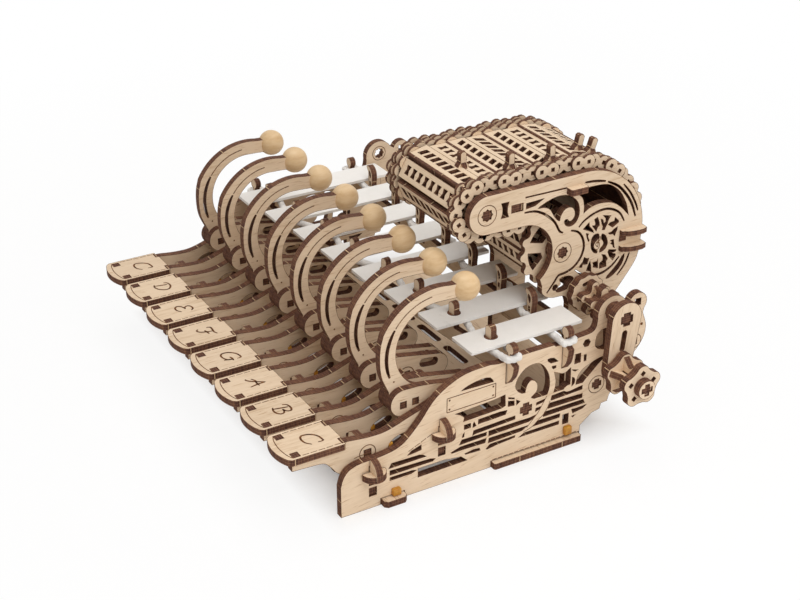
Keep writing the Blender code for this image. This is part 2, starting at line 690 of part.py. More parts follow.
def cassette_outline():
    """Side view of a cassette plate: nose, back, leg and the arch over the bars."""
    nose = arc(ROLLER[0], ROLLER[1], CASSETTE_NOSE, 90, 270, 8)
    arch = arc(*ARCH, 88, -52, 9)
    knee = [(114.6, 67.0), (115.4, 62.0), (119.0, 61.4), (128.6, 61.4)]
    leg = [(130.0, 54.0), (130.0, 4.0), (132.0, THIN_PLY + GAP), (132.0, 0.6),
           (146.0, 0.6), (146.0, THIN_PLY + GAP), (148.0, 4.0), (149.6, 40.0)]
    back = curve_through([(154.0, 52.0), (163.0, 64.0), (168.6, 75.0)], 2)
    round_back = arc(*CASSETTE_BACK, -12, 90, 10)
    return nose + arch + knee + leg + back + round_back


def cassette_holes():
    """Bearings and the main windows of a cassette plate."""
    holes = [circle(ROLLER[0], ROLLER[1], AXLE_HOLE, 12), circle(DRUM[0], DRUM[1], AXLE_HOLE, 12),
             circle(CRANK_AXIS[0], CRANK_AXIS[1], AXLE_HOLE, 12)]
    holes.append(box(92.0, 109.4, 94.6, 115.4))
    holes.append([(112.0, 112.0), (120.0, 113.6), (126.0, 111.0), (128.4, 104.0), (124.0, 99.4),
                  (118.0, 104.0), (110.0, 108.0)])
    sweep = arc(144.8, 84.2, 19.4, 112, 50, 4)
    crown = arc(CASSETTE_BACK[0], CASSETTE_BACK[1], 26.0, 18, 86, 6)
    holes.append(crown + sweep)
    for index in range(8):
        start = 45.0 * index + 9.0
        ring = arc(144.8, 84.2, 13.6, start, start + 27.0, 2)
        ring += arc(144.8, 84.2, 7.4, start + 27.0, start, 1)
        holes.append(ring)
    return holes


def build_cassette_plates():
    """The two plates of the cassette, with two ties between them on the right one."""
    left_middle = CASSETTE_OUTER - CASSETTE_WIDTH + PLY / 2
    right_middle = CASSETTE_OUTER - PLY / 2
    left = plate([cassette_outline()] + cassette_holes(), PLY, "X", left_middle)
    finish(left, "left_cassette_plate", "birch")
    right = plate([cassette_outline()] + cassette_holes(), PLY, "X", right_middle)
    low = left_middle + PLY / 2 + GAP
    high = CASSETTE_OUTER - PLY + OVERLAP * 2
    ties = [block((low, 136.0, 20.0), (high, 139.0, 40.0)),
            block((low, 155.0, 96.0), (high, 158.0, 104.0))]
    finish(combine(right, ties, "UNION"), "right_cassette_plate", "birch")


def belt_path(offset, wave):
    """Side view of the belt loop at some distance outside its middle line.

    wave adds the scallops of the side rails, one bump to each half link.
    """
    roller = arc(ROLLER[0], ROLLER[1], BELT_ROLLER + offset, 270, 90, 10)
    back = arc(BELT_BACK[0], BELT_BACK[1], BELT_BACK[2] + offset, 90, -20, 14)
    corner = arc(163.0, 76.0, 5.8 + offset, -28, -90, 3)
    drum = arc(DRUM[0], DRUM[1], BELT_DRUM + offset, -90, -180, 6)
    elbow = arc(103.6, 92.6, 7.6 - offset, 8, 90, 3)
    path = roller + back + corner + drum + elbow
    if not wave:
        return path
    return ripple(path, LINK_LENGTH / 2, wave)


def ripple(path, pitch, height):
    """Walk round a closed path and lift every other point outwards."""
    closed = path + [path[0]]
    total = sum(math.dist(a, b) for a, b in zip(closed, closed[1:]))
    count = 2 * round(total / pitch / 2)
    step = total / count
    points = []
    walked = 0.0
    for a, b in zip(closed, closed[1:]):
        length = math.dist(a, b)
        while len(points) * step < walked + length and len(points) < count:
            along = (len(points) * step - walked) / length
            lift = height if len(points) % 2 else -height
            normal = ((a[1] - b[1]) / length, (b[0] - a[0]) / length)
            points.append((a[0] + (b[0] - a[0]) * along + normal[0] * lift,
                           a[1] + (b[1] - a[1]) * along + normal[1] * lift))
        walked += length
    return points


def build_belt():
    """The programme belt: a slatted band between two scalloped rails, with note pins."""
    low = CASSETTE_OUTER - CASSETTE_WIDTH + PLY + GAP * 2
    high = CASSETTE_OUTER - PLY - GAP * 2
    half = BELT_THICKNESS / 2
    band = plate([belt_path(half, 0), belt_path(-half, 0)], high - low - 4.0, "X", (low + high) / 2)
    pieces = []
    for x in (low + 2.0, high - 2.0):
        rail = [belt_path(RAIL_HEIGHT, RAIL_WAVE), belt_path(-RAIL_HEIGHT, 0)]
        pieces.append(plate(rail, 4.0, "X", x))
    top = BELT_ROLLER + ROLLER[1] + half
    for x, y in BELT_PINS:
        pin = [(y - 3.0, top - 0.6), (y + 3.0, top - 0.6), (y + 1.6, top + 7.4), (y - 1.6, top + 7.4)]
        pieces.append(plate([pin], PLY, "X", x))
    finish(combine(band, pieces, "UNION"), "programme_belt", "birch")


def build_roller():
    """The front roller: a square axle with two toothed discs inside the belt."""
    low = CASSETTE_OUTER - CASSETTE_WIDTH - 1.0
    high = CASSETTE_OUTER + 1.0
    half = AXLE / 2
    axle = plate([box(ROLLER[0] - half, ROLLER[1] - half, ROLLER[0] + half, ROLLER[1] + half)],
                 high - low, "X", (low + high) / 2)
    wheels = [plate([gear_outline(ROLLER[0], ROLLER[1], 7.0, 0.7, 8, 0.0)], PLY, "X", x)
              for x in (138.0, 172.0)]
    pivot = ((low + high) / 2, ROLLER[0], ROLLER[1])
    finish(combine(axle, wheels, "UNION"), "front_roller", "birch", pivot)


def build_drum():
    """The drum: two sprockets inside the belt and the driven gear on one axle."""
    low = CASSETTE_OUTER - CASSETTE_WIDTH - 19.6
    high = CASSETTE_OUTER + 1.0
    half = AXLE / 2
    axle = plate([box(DRUM[0] - half, DRUM[1] - half, DRUM[0] + half, DRUM[1] + half)],
                 high - low, "X", (low + high) / 2)
    pieces = [plate([gear_outline(DRUM[0], DRUM[1], 9.8, 0.7, 12, 0.0)], PLY, "X", x)
              for x in (140.0, 172.0)]
    centres = math.dist(DRUM, CRANK_AXIS)
    radius = centres * GEAR_TEETH / (GEAR_TEETH + PINION_TEETH)
    towards = math.atan2(CRANK_AXIS[1] - DRUM[1], CRANK_AXIS[0] - DRUM[0])
    gear = gear_outline(DRUM[0], DRUM[1], radius - GAP, 1.1, GEAR_TEETH, towards)
    windows = [circle(DRUM[0] + 9.0 * math.cos(a), DRUM[1] + 9.0 * math.sin(a), 2.6, 6)
               for a in (0.4, 1.66, 2.92, 4.18, 5.44)]
    pieces.append(plate([gear] + windows, PLY, "X", low + 3.0))
    pivot = ((low + high) / 2, DRUM[0], DRUM[1])
    finish(combine(axle, pieces, "UNION"), "belt_drum", "birch", pivot)


# Crank


def build_crank_shaft():
    """The crank shaft: its pinion drives the drum, and a star lantern sits by the panel."""
    low = CASSETTE_OUTER - CASSETTE_WIDTH - 19.6
    high = ARM_OUTER - 1.0
    half = AXLE / 2
    y, z = CRANK_AXIS
    shaft = plate([box(y - half, z - half, y + half, z + half)], high - low, "X", (low + high) / 2)
    centres = math.dist(DRUM, CRANK_AXIS)
    radius = centres * PINION_TEETH / (GEAR_TEETH + PINION_TEETH)
    towards = math.atan2(DRUM[1] - z, DRUM[0] - y)
    mesh_turn = towards + math.pi / PINION_TEETH
    pinion = gear_outline(y, z, radius - GAP, 1.1, PINION_TEETH, mesh_turn)
    pieces = [plate([pinion], PLY, "X", low + 3.0), disc(y, z, 9.2, 191.4, 195.0, 12)]
    for x in (199.4, 206.6):
        pieces.append(plate([gear_outline(y, z, 6.6, 1.9, 5, 0.4)], PLY, "X", x))
    for turn in range(5):
        angle = 0.4 + turn * 2 * math.pi / 5
        pieces.append(disc(y + 6.2 * math.cos(angle), z + 6.2 * math.sin(angle), 1.6, 194.0, 207.4, 6))
    pieces.append(disc(y, z, 4.6, PANEL_OUTER + GAP * 2, 220.2, 12))
    solid = combine(shaft, pieces, "UNION")
    finish(solid, "crank_shaft", "birch", (PANEL_OUTER, y, z))


def build_crank_arm():
    """The crank arm, square on the shaft, with the fixed pin that the handle turns on."""
    low = ARM_OUTER - PLY
    y, z = CRANK_AXIS
    hy, hz = HANDLE_AXIS
    tilt = math.degrees(math.atan2(hz - z, hy - y))
    upper = arc(y, z, 8.4, tilt + 90, tilt + 270, 10)
    lower = arc(hy, hz, 7.0, tilt - 90, tilt + 90, 8)
    hole = AXLE / 2 + GAP
    square = box(y - hole, z - hole, y + hole, z + hole)
    along = [(y + (hy - y) * share, z + (hz - z) * share) for share in (0.34, 0.62)]
    arm = plate([upper + lower, square, slot(along[0], along[1], 3.0)], PLY, "X", low + PLY / 2)
    pin = disc(hy, hz, 2.0, ARM_OUTER - 1.0, HANDLE_END - 4.0, 10)
    solid = combine(arm, [pin], "UNION")
    finish(solid, "crank_arm", "birch", (PANEL_OUTER, y, z))


def build_crank_handle():
    """The handle: two star flanges on a ribbed spool that turns on the pin of the arm."""
    y, z = HANDLE_AXIS
    near = ARM_OUTER + 1.2
    far = HANDLE_END - 9.4
    bore = circle(y, z, 2.0 + GAP, 10)
    flanges = [plate([gear_outline(y, z, 9.4, 1.0, 5, 0.3), bore], PLY, "X", x)
               for x in (near + PLY / 2, far + PLY / 2)]
    spool = plate([gear_outline(y, z, 4.4, 1.6, 4, 0.3), bore],
                  far - near - PLY + OVERLAP * 4, "X", (near + far + PLY) / 2)
    hub = plate([circle(y, z, 4.6, 12), bore], HANDLE_END - far - PLY + OVERLAP * 2,
                "X", (HANDLE_END + far + PLY - OVERLAP * 2) / 2)
    solid = combine(spool, flanges + [hub], "UNION")
    finish(solid, "crank_handle", "birch", (HANDLE_END, y, z))


def build_celesta():
    """Build every piece of the celesta."""
    clear_scene()
    collection = bpy.data.collections.new("celesta")
    bpy.context.scene.collection.children.link(collection)
    build_pads()
    build_levers()
    build_hammers()
    build_balls()
    build_bars()
    build_rails()
    build_cords()
    build_panels()
    build_tie("front_tie", FRONT_TIE_Y, FRONT_PEG_Z, 4.0, 30.6, KEY_PIVOT)
    build_tie("middle_tie", MIDDLE_TIE_Y, MIDDLE_PEG_Z, 11.0, 43.0, HAMMER_PIVOT)
    build_axle("key_axle", KEY_PIVOT)
    build_axle("hammer_axle", HAMMER_PIVOT)
    build_bases()
    build_cassette_plates()
    build_belt()
    build_roller()
    build_drum()
    build_crank_shaft()
    build_crank_arm()
    build_crank_handle()


build_celesta()
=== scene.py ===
"""Looks of the eight-note celesta: laser-cut birch plates, pale bars and soft cords.

Drawing sizes are in millimetres: X runs from the low note to the high note, Y from
the keys to the back and Z is the height above the table. Datum turns them into the
metres of the loaded frame.
"""

import logging
import math
from dataclasses import dataclass
from enum import Enum

import bmesh
import bpy
from mathutils import Matrix, Vector
from mathutils.geometry import tessellate_polygon


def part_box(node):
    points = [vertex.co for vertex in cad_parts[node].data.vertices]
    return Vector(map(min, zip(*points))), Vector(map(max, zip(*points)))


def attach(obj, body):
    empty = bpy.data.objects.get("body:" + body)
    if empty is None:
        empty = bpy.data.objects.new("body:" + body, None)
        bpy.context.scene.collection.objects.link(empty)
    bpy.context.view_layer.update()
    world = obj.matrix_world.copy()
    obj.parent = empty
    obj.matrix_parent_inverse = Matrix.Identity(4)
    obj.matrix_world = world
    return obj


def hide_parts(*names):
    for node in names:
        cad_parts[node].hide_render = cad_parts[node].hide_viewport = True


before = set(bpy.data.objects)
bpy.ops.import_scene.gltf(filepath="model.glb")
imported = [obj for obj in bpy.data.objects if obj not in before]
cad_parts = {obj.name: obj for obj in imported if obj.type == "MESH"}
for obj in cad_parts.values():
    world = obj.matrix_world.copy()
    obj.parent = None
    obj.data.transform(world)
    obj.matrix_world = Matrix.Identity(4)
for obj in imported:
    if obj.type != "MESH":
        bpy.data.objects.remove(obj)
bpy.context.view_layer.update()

log = logging.getLogger("celesta")

MM = 0.001
Pair = tuple[float, float]
Triple = tuple[float, float, float]
Loop = list[Pair]
Ring = list[bmesh.types.BMVert]
Piece = bpy.types.Object
Material = bpy.types.Material
Tree = bpy.types.NodeTree
Node = bpy.types.Node
Socket = bpy.types.NodeSocket

NOTES = ("c_low", "d", "e", "f", "g", "a", "b", "c_high")
SEMITONES = (0, 2, 4, 5, 7, 9, 11, 12)
KEY_PITCH = 27.0
FIRST_KEY = 11.1
PLY = 3.6
THIN_PLY = 3.0
WHITE: Triple = (255, 255, 255)
SKIN = 0.02


# Drawing helpers


def arc(u: float, v: float, radius: float, start: float, end: float, count: int) -> Loop:
    """Draw an arc.

    Args:
        u: Centre along the first axis of the plate.
        v: Centre along the second axis.
        radius: Radius of the arc.
        start: First angle in degrees.
        end: Last angle in degrees.
        count: Number of steps.

    Returns:
        The points from start to end.
    """
    points = []
    for step in range(count + 1):
        angle = math.radians(start + (end - start) * step / count)
        points.append((u + radius * math.cos(angle), v + radius * math.sin(angle)))
    return points


def circle(u: float, v: float, radius: float, count: int = 20) -> Loop:
    """Draw a closed ring of points."""
    return arc(u, v, radius, 0.0, 360.0, count)[:-1]


def box(low_u: float, low_v: float, high_u: float, high_v: float) -> Loop:
    """Draw a rectangle."""
    return [(low_u, low_v), (high_u, low_v), (high_u, high_v), (low_u, high_v)]


def square_hole(u: float, v: float, half: float) -> Loop:
    """Draw a square about its middle."""
    return box(u - half, v - half, u + half, v + half)


def slot(start: Pair, end: Pair, width: float, count: int = 5) -> Loop:
    """Draw a slot with round ends between two centres."""
    along = math.degrees(math.atan2(end[1] - start[1], end[0] - start[0]))
    near = arc(start[0], start[1], width / 2, along + 90, along + 270, count)
    far = arc(end[0], end[1], width / 2, along - 90, along + 90, count)
    return near + far


def smooth(points: Loop, steps: int = 4, closed: bool = False) -> Loop:
    """Round off a run of points with a curve through all of them.

    Args:
        points: Points that the curve passes through.
        steps: Steps between each two points.
        closed: Whether the curve closes on its first point.

    Returns:
        The points of the curve.
    """
    if closed:
        padded = [points[-1]] + list(points) + [points[0], points[1]]
    else:
        padded = [points[0]] + list(points) + [points[-1]]
    size = len(points[0])
    curve = []
    for index in range(1, len(padded) - 2):
        before, here, there, after = padded[index - 1:index + 3]
        for step in range(steps):
            t = step / steps
            curve.append(tuple(
                0.5 * (2 * here[k] + (there[k] - before[k]) * t
                       + (2 * before[k] - 5 * here[k] + 4 * there[k] - after[k]) * t ** 2
                       + (3 * here[k] - before[k] - 3 * there[k] + after[k]) * t ** 3)
                for k in range(size)))
    if not closed:
        curve.append(tuple(points[-1]))
    return curve


def stroke(points: Loop, width: float, taper: float = 0.0) -> Loop:
    """Widen an open line into a closed band.

    Args:
        points: The middle of the band.
        width: Width of the band.
        taper: Share of the width lost at both ends.

    Returns:
        The outline of the band.
    """
    left, right = [], []
    last = len(points) - 1
    for index, (u, v) in enumerate(points):
        before = points[max(index - 1, 0)]
        after = points[min(index + 1, last)]
        du, dv = after[0] - before[0], after[1] - before[1]
        length = math.hypot(du, dv) or 1.0
        share = abs(2 * index / last - 1) ** 3
        half = width / 2 * (1 - taper * share)
        left.append((u - dv / length * half, v + du / length * half))
        right.append((u + dv / length * half, v - du / length * half))
    return left + right[::-1]


def gear(u: float, v: float, radius: float, depth: float, teeth: int, turn: float = 0.0,
         steps: int = 8) -> Loop:
    """Draw a wheel with soft round teeth.

    Args:
        u: Centre along the first axis.
        v: Centre along the second axis.
        radius: Mean radius.
        depth: Height of a tooth above the mean radius.
        teeth: Number of teeth.
        turn: Angle of the first tooth in radians.
        steps: Points to a tooth.

    Returns:
        The outline of the wheel.
    """
    points = []
    for step in range(steps * teeth):
        angle = 2 * math.pi * (step + 0.5) / (steps * teeth)
        wave = math.cos(teeth * angle)
        reach = radius + depth * math.copysign(abs(wave) ** 0.6, wave)
        points.append((u + reach * math.cos(angle + turn), v + reach * math.sin(angle + turn)))
    return points


def star(u: float, v: float, outer: float, inner: float, tips: int, turn: float = 0.0) -> Loop:
    """Draw a pointed star."""
    points = []
    for step in range(2 * tips):
        reach = inner if step % 2 else outer
        angle = math.pi * step / tips + turn
        points.append((u + reach * math.cos(angle), v + reach * math.sin(angle)))
    return points


def cross(u: float, v: float, arm: float, width: float, turn: float = 0.0) -> Loop:
    """Draw a plus-shaped hole."""
    half = width / 2
    quarter = [(arm, -half), (arm, half), (half, half)]
    points = []
    for step in range(4):
        angle = math.pi / 2 * step + turn
        for a, b in quarter:
            points.append((u + a * math.cos(angle) - b * math.sin(angle),
                           v + a * math.sin(angle) + b * math.cos(angle)))
    return points


def area(loop: Loop) -> float:
    """Return the signed area of a closed loop."""
    return sum(a[0] * b[1] - b[0] * a[1] for a, b in zip(loop, loop[1:] + loop[:1])) / 2


def bounds_of(loop: Loop) -> Pair:
    """Return the lowest and highest first coordinate of a loop."""
    return min(u for u, _ in loop), max(u for u, _ in loop)


# Finishes


class Skin(Enum):
    """Which finish a polygon of a cut plate takes."""

    FACE = 0
    EDGE = 1
    SCORCH = 2


END_GRAIN: dict[str, object] = {"rim": 0.0, "skins": (Skin.EDGE, Skin.EDGE)}


@dataclass(frozen=True)
class Shader:
    """A material under construction, with short ways to add and join nodes."""

    name: str

    def start(self) -> tuple[Material, Tree]:
        """Make the material and its node tree."""
        made = bpy.data.materials.new(self.name)
        made.use_nodes = True
        return made, made.node_tree

    @staticmethod
    def node(tree: Tree, kind: str, *sources: Socket, **values: object) -> Node:
        """Add a node.

        Args:
            tree: The tree it goes in.
            kind: Blender's name of the node.
            *sources: Sockets that drive its first inputs, in order.
            **values: Properties, and inputs by name with spaces as underscores.

        Returns:
            The new node.
        """
        made = tree.nodes.new(kind)
        for key, value in values.items():
            if hasattr(made, key) and key not in made.inputs:
                setattr(made, key, value)
            else:
                made.inputs[key.replace("_", " ")].default_value = value
        for source, socket in zip(sources, made.inputs):
            tree.links.new(source, socket)
        return made

    @staticmethod
    def reckon(tree: Tree, operation: str, source: Socket, value: float = 0.0) -> Socket:
        """Work out a socket with a number, and return the result."""
        made = Shader.node(tree, "ShaderNodeMath", source, operation=operation)
        made.inputs[1].default_value = value
        return made.outputs[0]

    @staticmethod
    def join(tree: Tree, operation: str, first: Socket, second: Socket) -> Socket:
        """Work out two sockets with each other, and return the result."""
        return Shader.node(tree, "ShaderNodeMath", first, second, operation=operation).outputs[0]

    @staticmethod
    def spread(tree: Tree, source: Socket, **limits: float) -> Socket:
        """Map a socket to other limits, and return the result."""
        return Shader.node(tree, "ShaderNodeMapRange", source, **limits).outputs[0]

    @staticmethod
    def blend(tree: Tree, share: float, first: Socket, second: Socket) -> Socket:
        """Blend two numbers, and return the result."""
        made = Shader.node(tree, "ShaderNodeMix", data_type="FLOAT")
        made.inputs[0].default_value = share
        tree.links.new(first, made.inputs[2])
        tree.links.new(second, made.inputs[3])
        return made.outputs[0]

    @staticmethod
    def noise(tree: Tree, place: Socket, scale: float, detail: float, roughness: float = 0.5,
              stretch: Triple | None = None) -> Socket:
        """Add cloudy noise.

        Args:
            tree: The tree it goes in.
            place: The coordinates.
            scale: Its fineness.
            detail: How many finer layers it has.
            roughness: How strong these are.
            stretch: Scale along each axis, or None.

        Returns:
            The noise, from 0 to 1.
        """
        if stretch:
            place = Shader.node(tree, "ShaderNodeMapping", place, Scale=stretch).outputs[0]
        return Shader.node(tree, "ShaderNodeTexNoise", place, Scale=scale, Detail=detail,
                           Roughness=roughness).outputs["Fac"]

    @staticmethod
    def ramp(tree: Tree, factor: Socket, stops: list[tuple[float, Triple]]) -> Socket:
        """Add a colour ramp.

        Args:
            tree: The tree it goes in.
            factor: The socket that drives it.
            stops: Places and sRGB colours in 0 to 255.

        Returns:
            The colour.
        """
        made = Shader.node(tree, "ShaderNodeValToRGB", factor)
        elements = made.color_ramp.elements
        elements.remove(elements[1])
        for index, (place, colour) in enumerate(stops):
            element = elements[0] if index == 0 else elements.new(place)
            element.position = place
            element.color = linear(colour)
        return made.outputs["Color"]

    @staticmethod
    def dress(tree: Tree, colour: Socket, height: Socket | None = None, strength: float = 0.0,
              depth: float = 0.0, **values: object) -> None:
        """Give the main shader its colour, relief and numbers.

        Args:
            tree: The tree of the material.
            colour: The colour.
            height: The height of the relief, or None.
            strength: Strength of the relief.
            depth: Depth of the relief in metres.
            **values: Inputs of the shader by name with spaces as underscores.
        """
        main = tree.nodes["Principled BSDF"]
        tree.links.new(colour, main.inputs["Base Color"])
        if height is not None:
            bump = Shader.node(tree, "ShaderNodeBump", Strength=strength, Distance=depth)
            tree.links.new(height, bump.inputs["Height"])
            tree.links.new(bump.outputs[0], main.inputs["Normal"])
        for key, value in values.items():
            main.inputs[key.replace("_", " ")].default_value = value


def linear(colour: Triple) -> tuple[float, float, float, float]:
    """Turn a 0 to 255 sRGB colour into linear light."""
    shares = [part / 255 for part in colour]
    return (*(share / 12.92 if share <= 0.04045 else ((share + 0.055) / 1.055) ** 2.4 for share in shares), 1.0)


@dataclass(frozen=True)
class BirchFace:
    """Pale birch face veneer: fine fibres along the grain, soft flecks, matt."""

    name: str = "birch_face"
    pale: Triple = (233, 211, 185)
    middle: Triple = (225, 202, 174)
    deep: Triple = (199, 170, 137)
    fleck: Triple = (214, 196, 176)

    def make(self) -> Material:
        """Make the material."""
        made, tree = Shader(self.name).start()
        grain = Shader.node(tree, "ShaderNodeUVMap", uv_map="grain").outputs["UV"]
        random = Shader.node(tree, "ShaderNodeObjectInfo").outputs["Random"]
        scaled = Shader.reckon(tree, "MULTIPLY", random, 7.3)
        offset = Shader.node(tree, "ShaderNodeCombineXYZ", scaled, scaled).outputs[0]
        place = Shader.node(tree, "ShaderNodeVectorMath", grain, offset, operation="ADD").outputs[0]
        fibre = Shader.noise(tree, place, 1.0, 6.0, 0.65, (28.0, 420.0, 1.0))
        cloud = Shader.noise(tree, place, 34.0, 3.0)
        fleck = Shader.noise(tree, place, 1.0, 2.0, 0.5, (120.0, 1500.0, 1.0))
        mix = Shader.node(tree, "ShaderNodeMix", data_type="RGBA", blend_type="MULTIPLY")
        mix.inputs[0].default_value = 1.0
        tree.links.new(Shader.ramp(tree, Shader.blend(tree, 0.35, fibre, cloud), [
            (0.30, self.deep), (0.46, self.middle), (0.66, self.pale)]), mix.inputs[6])
        tree.links.new(Shader.ramp(tree, fleck, [(0.0, WHITE), (0.60, WHITE), (0.74, self.fleck)]), mix.inputs[7])
        tone = Shader.node(tree, "ShaderNodeHueSaturation")
        tree.links.new(Shader.spread(tree, random, To_Min=0.95, To_Max=1.03), tone.inputs["Value"])
        tree.links.new(mix.outputs[2], tone.inputs["Color"])
        Shader.dress(tree, tone.outputs[0], fibre, 0.25, 0.0001, Specular_IOR_Level=0.28)
        tree.links.new(Shader.spread(tree, cloud, To_Min=0.52, To_Max=0.72),
                       tree.nodes["Principled BSDF"].inputs["Roughness"])
        return made


@dataclass(frozen=True)
class BurntEdge:
    """Laser-burnt plywood edge: dark plies, paler core streaks and small snapped bridges."""

    name: str = "burnt_edge"
    dark: Triple = (66, 42, 35)
    brown: Triple = (101, 68, 54)
    light: Triple = (140, 101, 74)
    bridge: Triple = (214, 184, 146)
    bridge_spacing: float = 0.0235

    def make(self) -> Material:
        """Make the material."""
        made, tree = Shader(self.name).start()
        grain = Shader.node(tree, "ShaderNodeUVMap", uv_map="grain").outputs["UV"]
        parts = Shader.node(tree, "ShaderNodeSeparateXYZ", grain)
        burn = Shader.noise(tree, grain, 1.0, 4.0, 0.6, (900.0, 140.0, 1.0))
        patch = Shader.noise(tree, grain, 95.0, 2.0)
        wave = Shader.reckon(tree, "SINE", Shader.reckon(tree, "MULTIPLY", parts.outputs["Y"], 5200.0))
        layer = Shader.spread(tree, wave, From_Min=-1.0, To_Min=-0.10, To_Max=0.12)
        tone = Shader.blend(tree, 0.35, Shader.join(tree, "ADD", burn, layer), patch)
        base = Shader.ramp(tree, tone, [(0.34, self.dark), (0.52, self.brown), (0.70, self.light)])
        turn = Shader.reckon(tree, "FRACT", Shader.reckon(tree, "DIVIDE", parts.outputs["X"], self.bridge_spacing))
        mix = Shader.node(tree, "ShaderNodeMix", Shader.reckon(tree, "LESS_THAN", turn, 0.014), data_type="RGBA")
        tree.links.new(base, mix.inputs[6])
        mix.inputs[7].default_value = linear(self.bridge)
        Shader.dress(tree, mix.outputs[2], burn, 0.5, 0.00015, Roughness=0.78, Specular_IOR_Level=0.2)
        return made


@dataclass(frozen=True)
class Scorch:
    """Engraved line: a shallow groove burnt unevenly into the veneer."""

    name: str = "scorched_line"
    dark: Triple = (70, 42, 28)
    brown: Triple = (126, 84, 52)

    def make(self) -> Material:
        """Make the material."""
        made, tree = Shader(self.name).start()
        grain = Shader.node(tree, "ShaderNodeUVMap", uv_map="grain").outputs["UV"]
        base = Shader.ramp(tree, Shader.noise(tree, grain, 420.0, 3.0), [(0.35, self.dark), (0.65, self.brown)])
        Shader.dress(tree, base, Roughness=0.85, Specular_IOR_Level=0.15)
        return made


@dataclass(frozen=True)
class TurnedBead:
    """Smooth turned wood with faint growth rings and a satin skin."""

    name: str = "turned_bead"
    deep: Triple = (207, 173, 129)
    middle: Triple = (219, 189, 147)
    pale: Triple = (228, 201, 162)

    def make(self) -> Material:
        """Make the material."""
        made, tree = Shader(self.name).start()
        place = Shader.node(tree, "ShaderNodeTexCoord").outputs["Object"]
        random = Shader.node(tree, "ShaderNodeObjectInfo").outputs["Random"]
        spin = Shader.node(tree, "ShaderNodeCombineXYZ")
        tree.links.new(random, spin.inputs["Z"])
        tree.links.new(random, spin.inputs["X"])
        turn = Shader.node(tree, "ShaderNodeMapping", place, Scale=(210.0, 60.0, 330.0))
        tree.links.new(spin.outputs[0], turn.inputs["Rotation"])
        rings = Shader.noise(tree, turn.outputs[0], 1.0, 5.0, 0.6)
        base = Shader.ramp(tree, rings, [(0.30, self.deep), (0.5, self.middle), (0.72, self.pale)])
        Shader.dress(tree, base, rings, 0.12, 0.0001, Roughness=0.46, Specular_IOR_Level=0.35)
        return made


@dataclass(frozen=True)
class PaleMetal:
    """Near-white painted metal of the bars, with fine speckle and rubbed scratches."""

    name: str = "pale_bar"
    rubbed: Triple = (216, 214, 210)
    plain: Triple = (242, 241, 238)
    bright: Triple = (249, 248, 246)

    def make(self) -> Material:
        """Make the material."""
        made, tree = Shader(self.name).start()
        place = Shader.node(tree, "ShaderNodeVectorMath",
                            Shader.node(tree, "ShaderNodeTexCoord").outputs["Object"],
                            Shader.node(tree, "ShaderNodeObjectInfo").outputs["Random"], operation="ADD").outputs[0]
        speck = Shader.noise(tree, place, 900.0, 4.0)
        lines = Shader.noise(tree, place, 1.0, 5.0, 0.6, (1200.0, 40.0, 1.0))
        wear = Shader.noise(tree, place, 55.0, 6.0, 0.7)
        base = Shader.ramp(tree, wear, [(0.24, self.rubbed), (0.36, self.plain), (0.7, self.bright)])
        Shader.dress(tree, base, Shader.join(tree, "ADD", speck, lines), 0.35, 0.0001, Specular_IOR_Level=0.5)
        tree.links.new(Shader.spread(tree, lines, To_Min=0.36, To_Max=0.6),
                       tree.nodes["Principled BSDF"].inputs["Roughness"])
        return made


@dataclass(frozen=True)
class CottonCord:
    """Soft white cotton: uneven fuzz on twisted strands."""

    name: str = "cotton_cord"
    shade: Triple = (222, 220, 218)
    white: Triple = (247, 246, 244)

    def make(self) -> Material:
        """Make the material."""
        made, tree = Shader(self.name).start()
        place = Shader.node(tree, "ShaderNodeTexCoord").outputs["Object"]
        fuzz = Shader.noise(tree, place, 1500.0, 6.0, 0.75)
        base = Shader.ramp(tree, Shader.noise(tree, place, 260.0, 3.0), [(0.3, self.shade), (0.6, self.white)])
        Shader.dress(tree, base, fuzz, 0.9, 0.0004, Roughness=0.95, Sheen_Weight=0.5, Subsurface_Weight=0.1,
                     Subsurface_Radius=(0.002, 0.002, 0.002))
        return made


@dataclass(frozen=True)
class AmberRubber:
    """Amber rubber band: slightly cloudy, waxy skin."""

    name: str = "amber_rubber"
    deep: Triple = (168, 108, 22)
    clear: Triple = (205, 148, 48)

    def make(self) -> Material:
        """Make the material."""
        made, tree = Shader(self.name).start()
        place = Shader.node(tree, "ShaderNodeTexCoord").outputs["Object"]
        cloud = Shader.noise(tree, place, 420.0, 4.0)
        base = Shader.ramp(tree, cloud, [(0.3, self.deep), (0.7, self.clear)])
        Shader.dress(tree, base, cloud, 0.3, 0.0002, Roughness=0.42, Subsurface_Weight=0.25,
                     Subsurface_Radius=(0.002, 0.001, 0.0004))
        return made


@dataclass
class Finishes:
    """Every finish of the celesta, made once."""

    face: Material
    edge: Material
    scorch: Material
    bead: Material
    bar: Material
    cord: Material
    rubber: Material

    @classmethod
    def make(cls) -> "Finishes":
        """Make all materials."""
        return cls(BirchFace().make(), BurntEdge().make(), Scorch().make(), TurnedBead().make(),
                   PaleMetal().make(), CottonCord().make(), AmberRubber().make())

    def wood(self) -> list[Material]:
        """List the finishes of a cut plate in the order of Skin."""
        return [self.face, self.edge, self.scorch]


# Building


@dataclass(frozen=True)
class Datum:
    """Where the zero of the drawing lies in the frame, in metres."""

    x: float
    y: float

    @classmethod
    def read(cls) -> "Datum":
        """Read it from the outer face of the right panel and the middle of the key axle."""
        panel_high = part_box("right_panel")[1]
        axle_low, axle_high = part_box("key_axle")
        return cls(213.9 * MM - panel_high.x, 11.1 * MM - (axle_low.y + axle_high.y) / 2)

    def world(self, x: float, y: float, z: float) -> Vector:
        """Turn drawing millimetres into metres of the frame."""
        return Vector((x * MM - self.x, y * MM - self.y, z * MM))


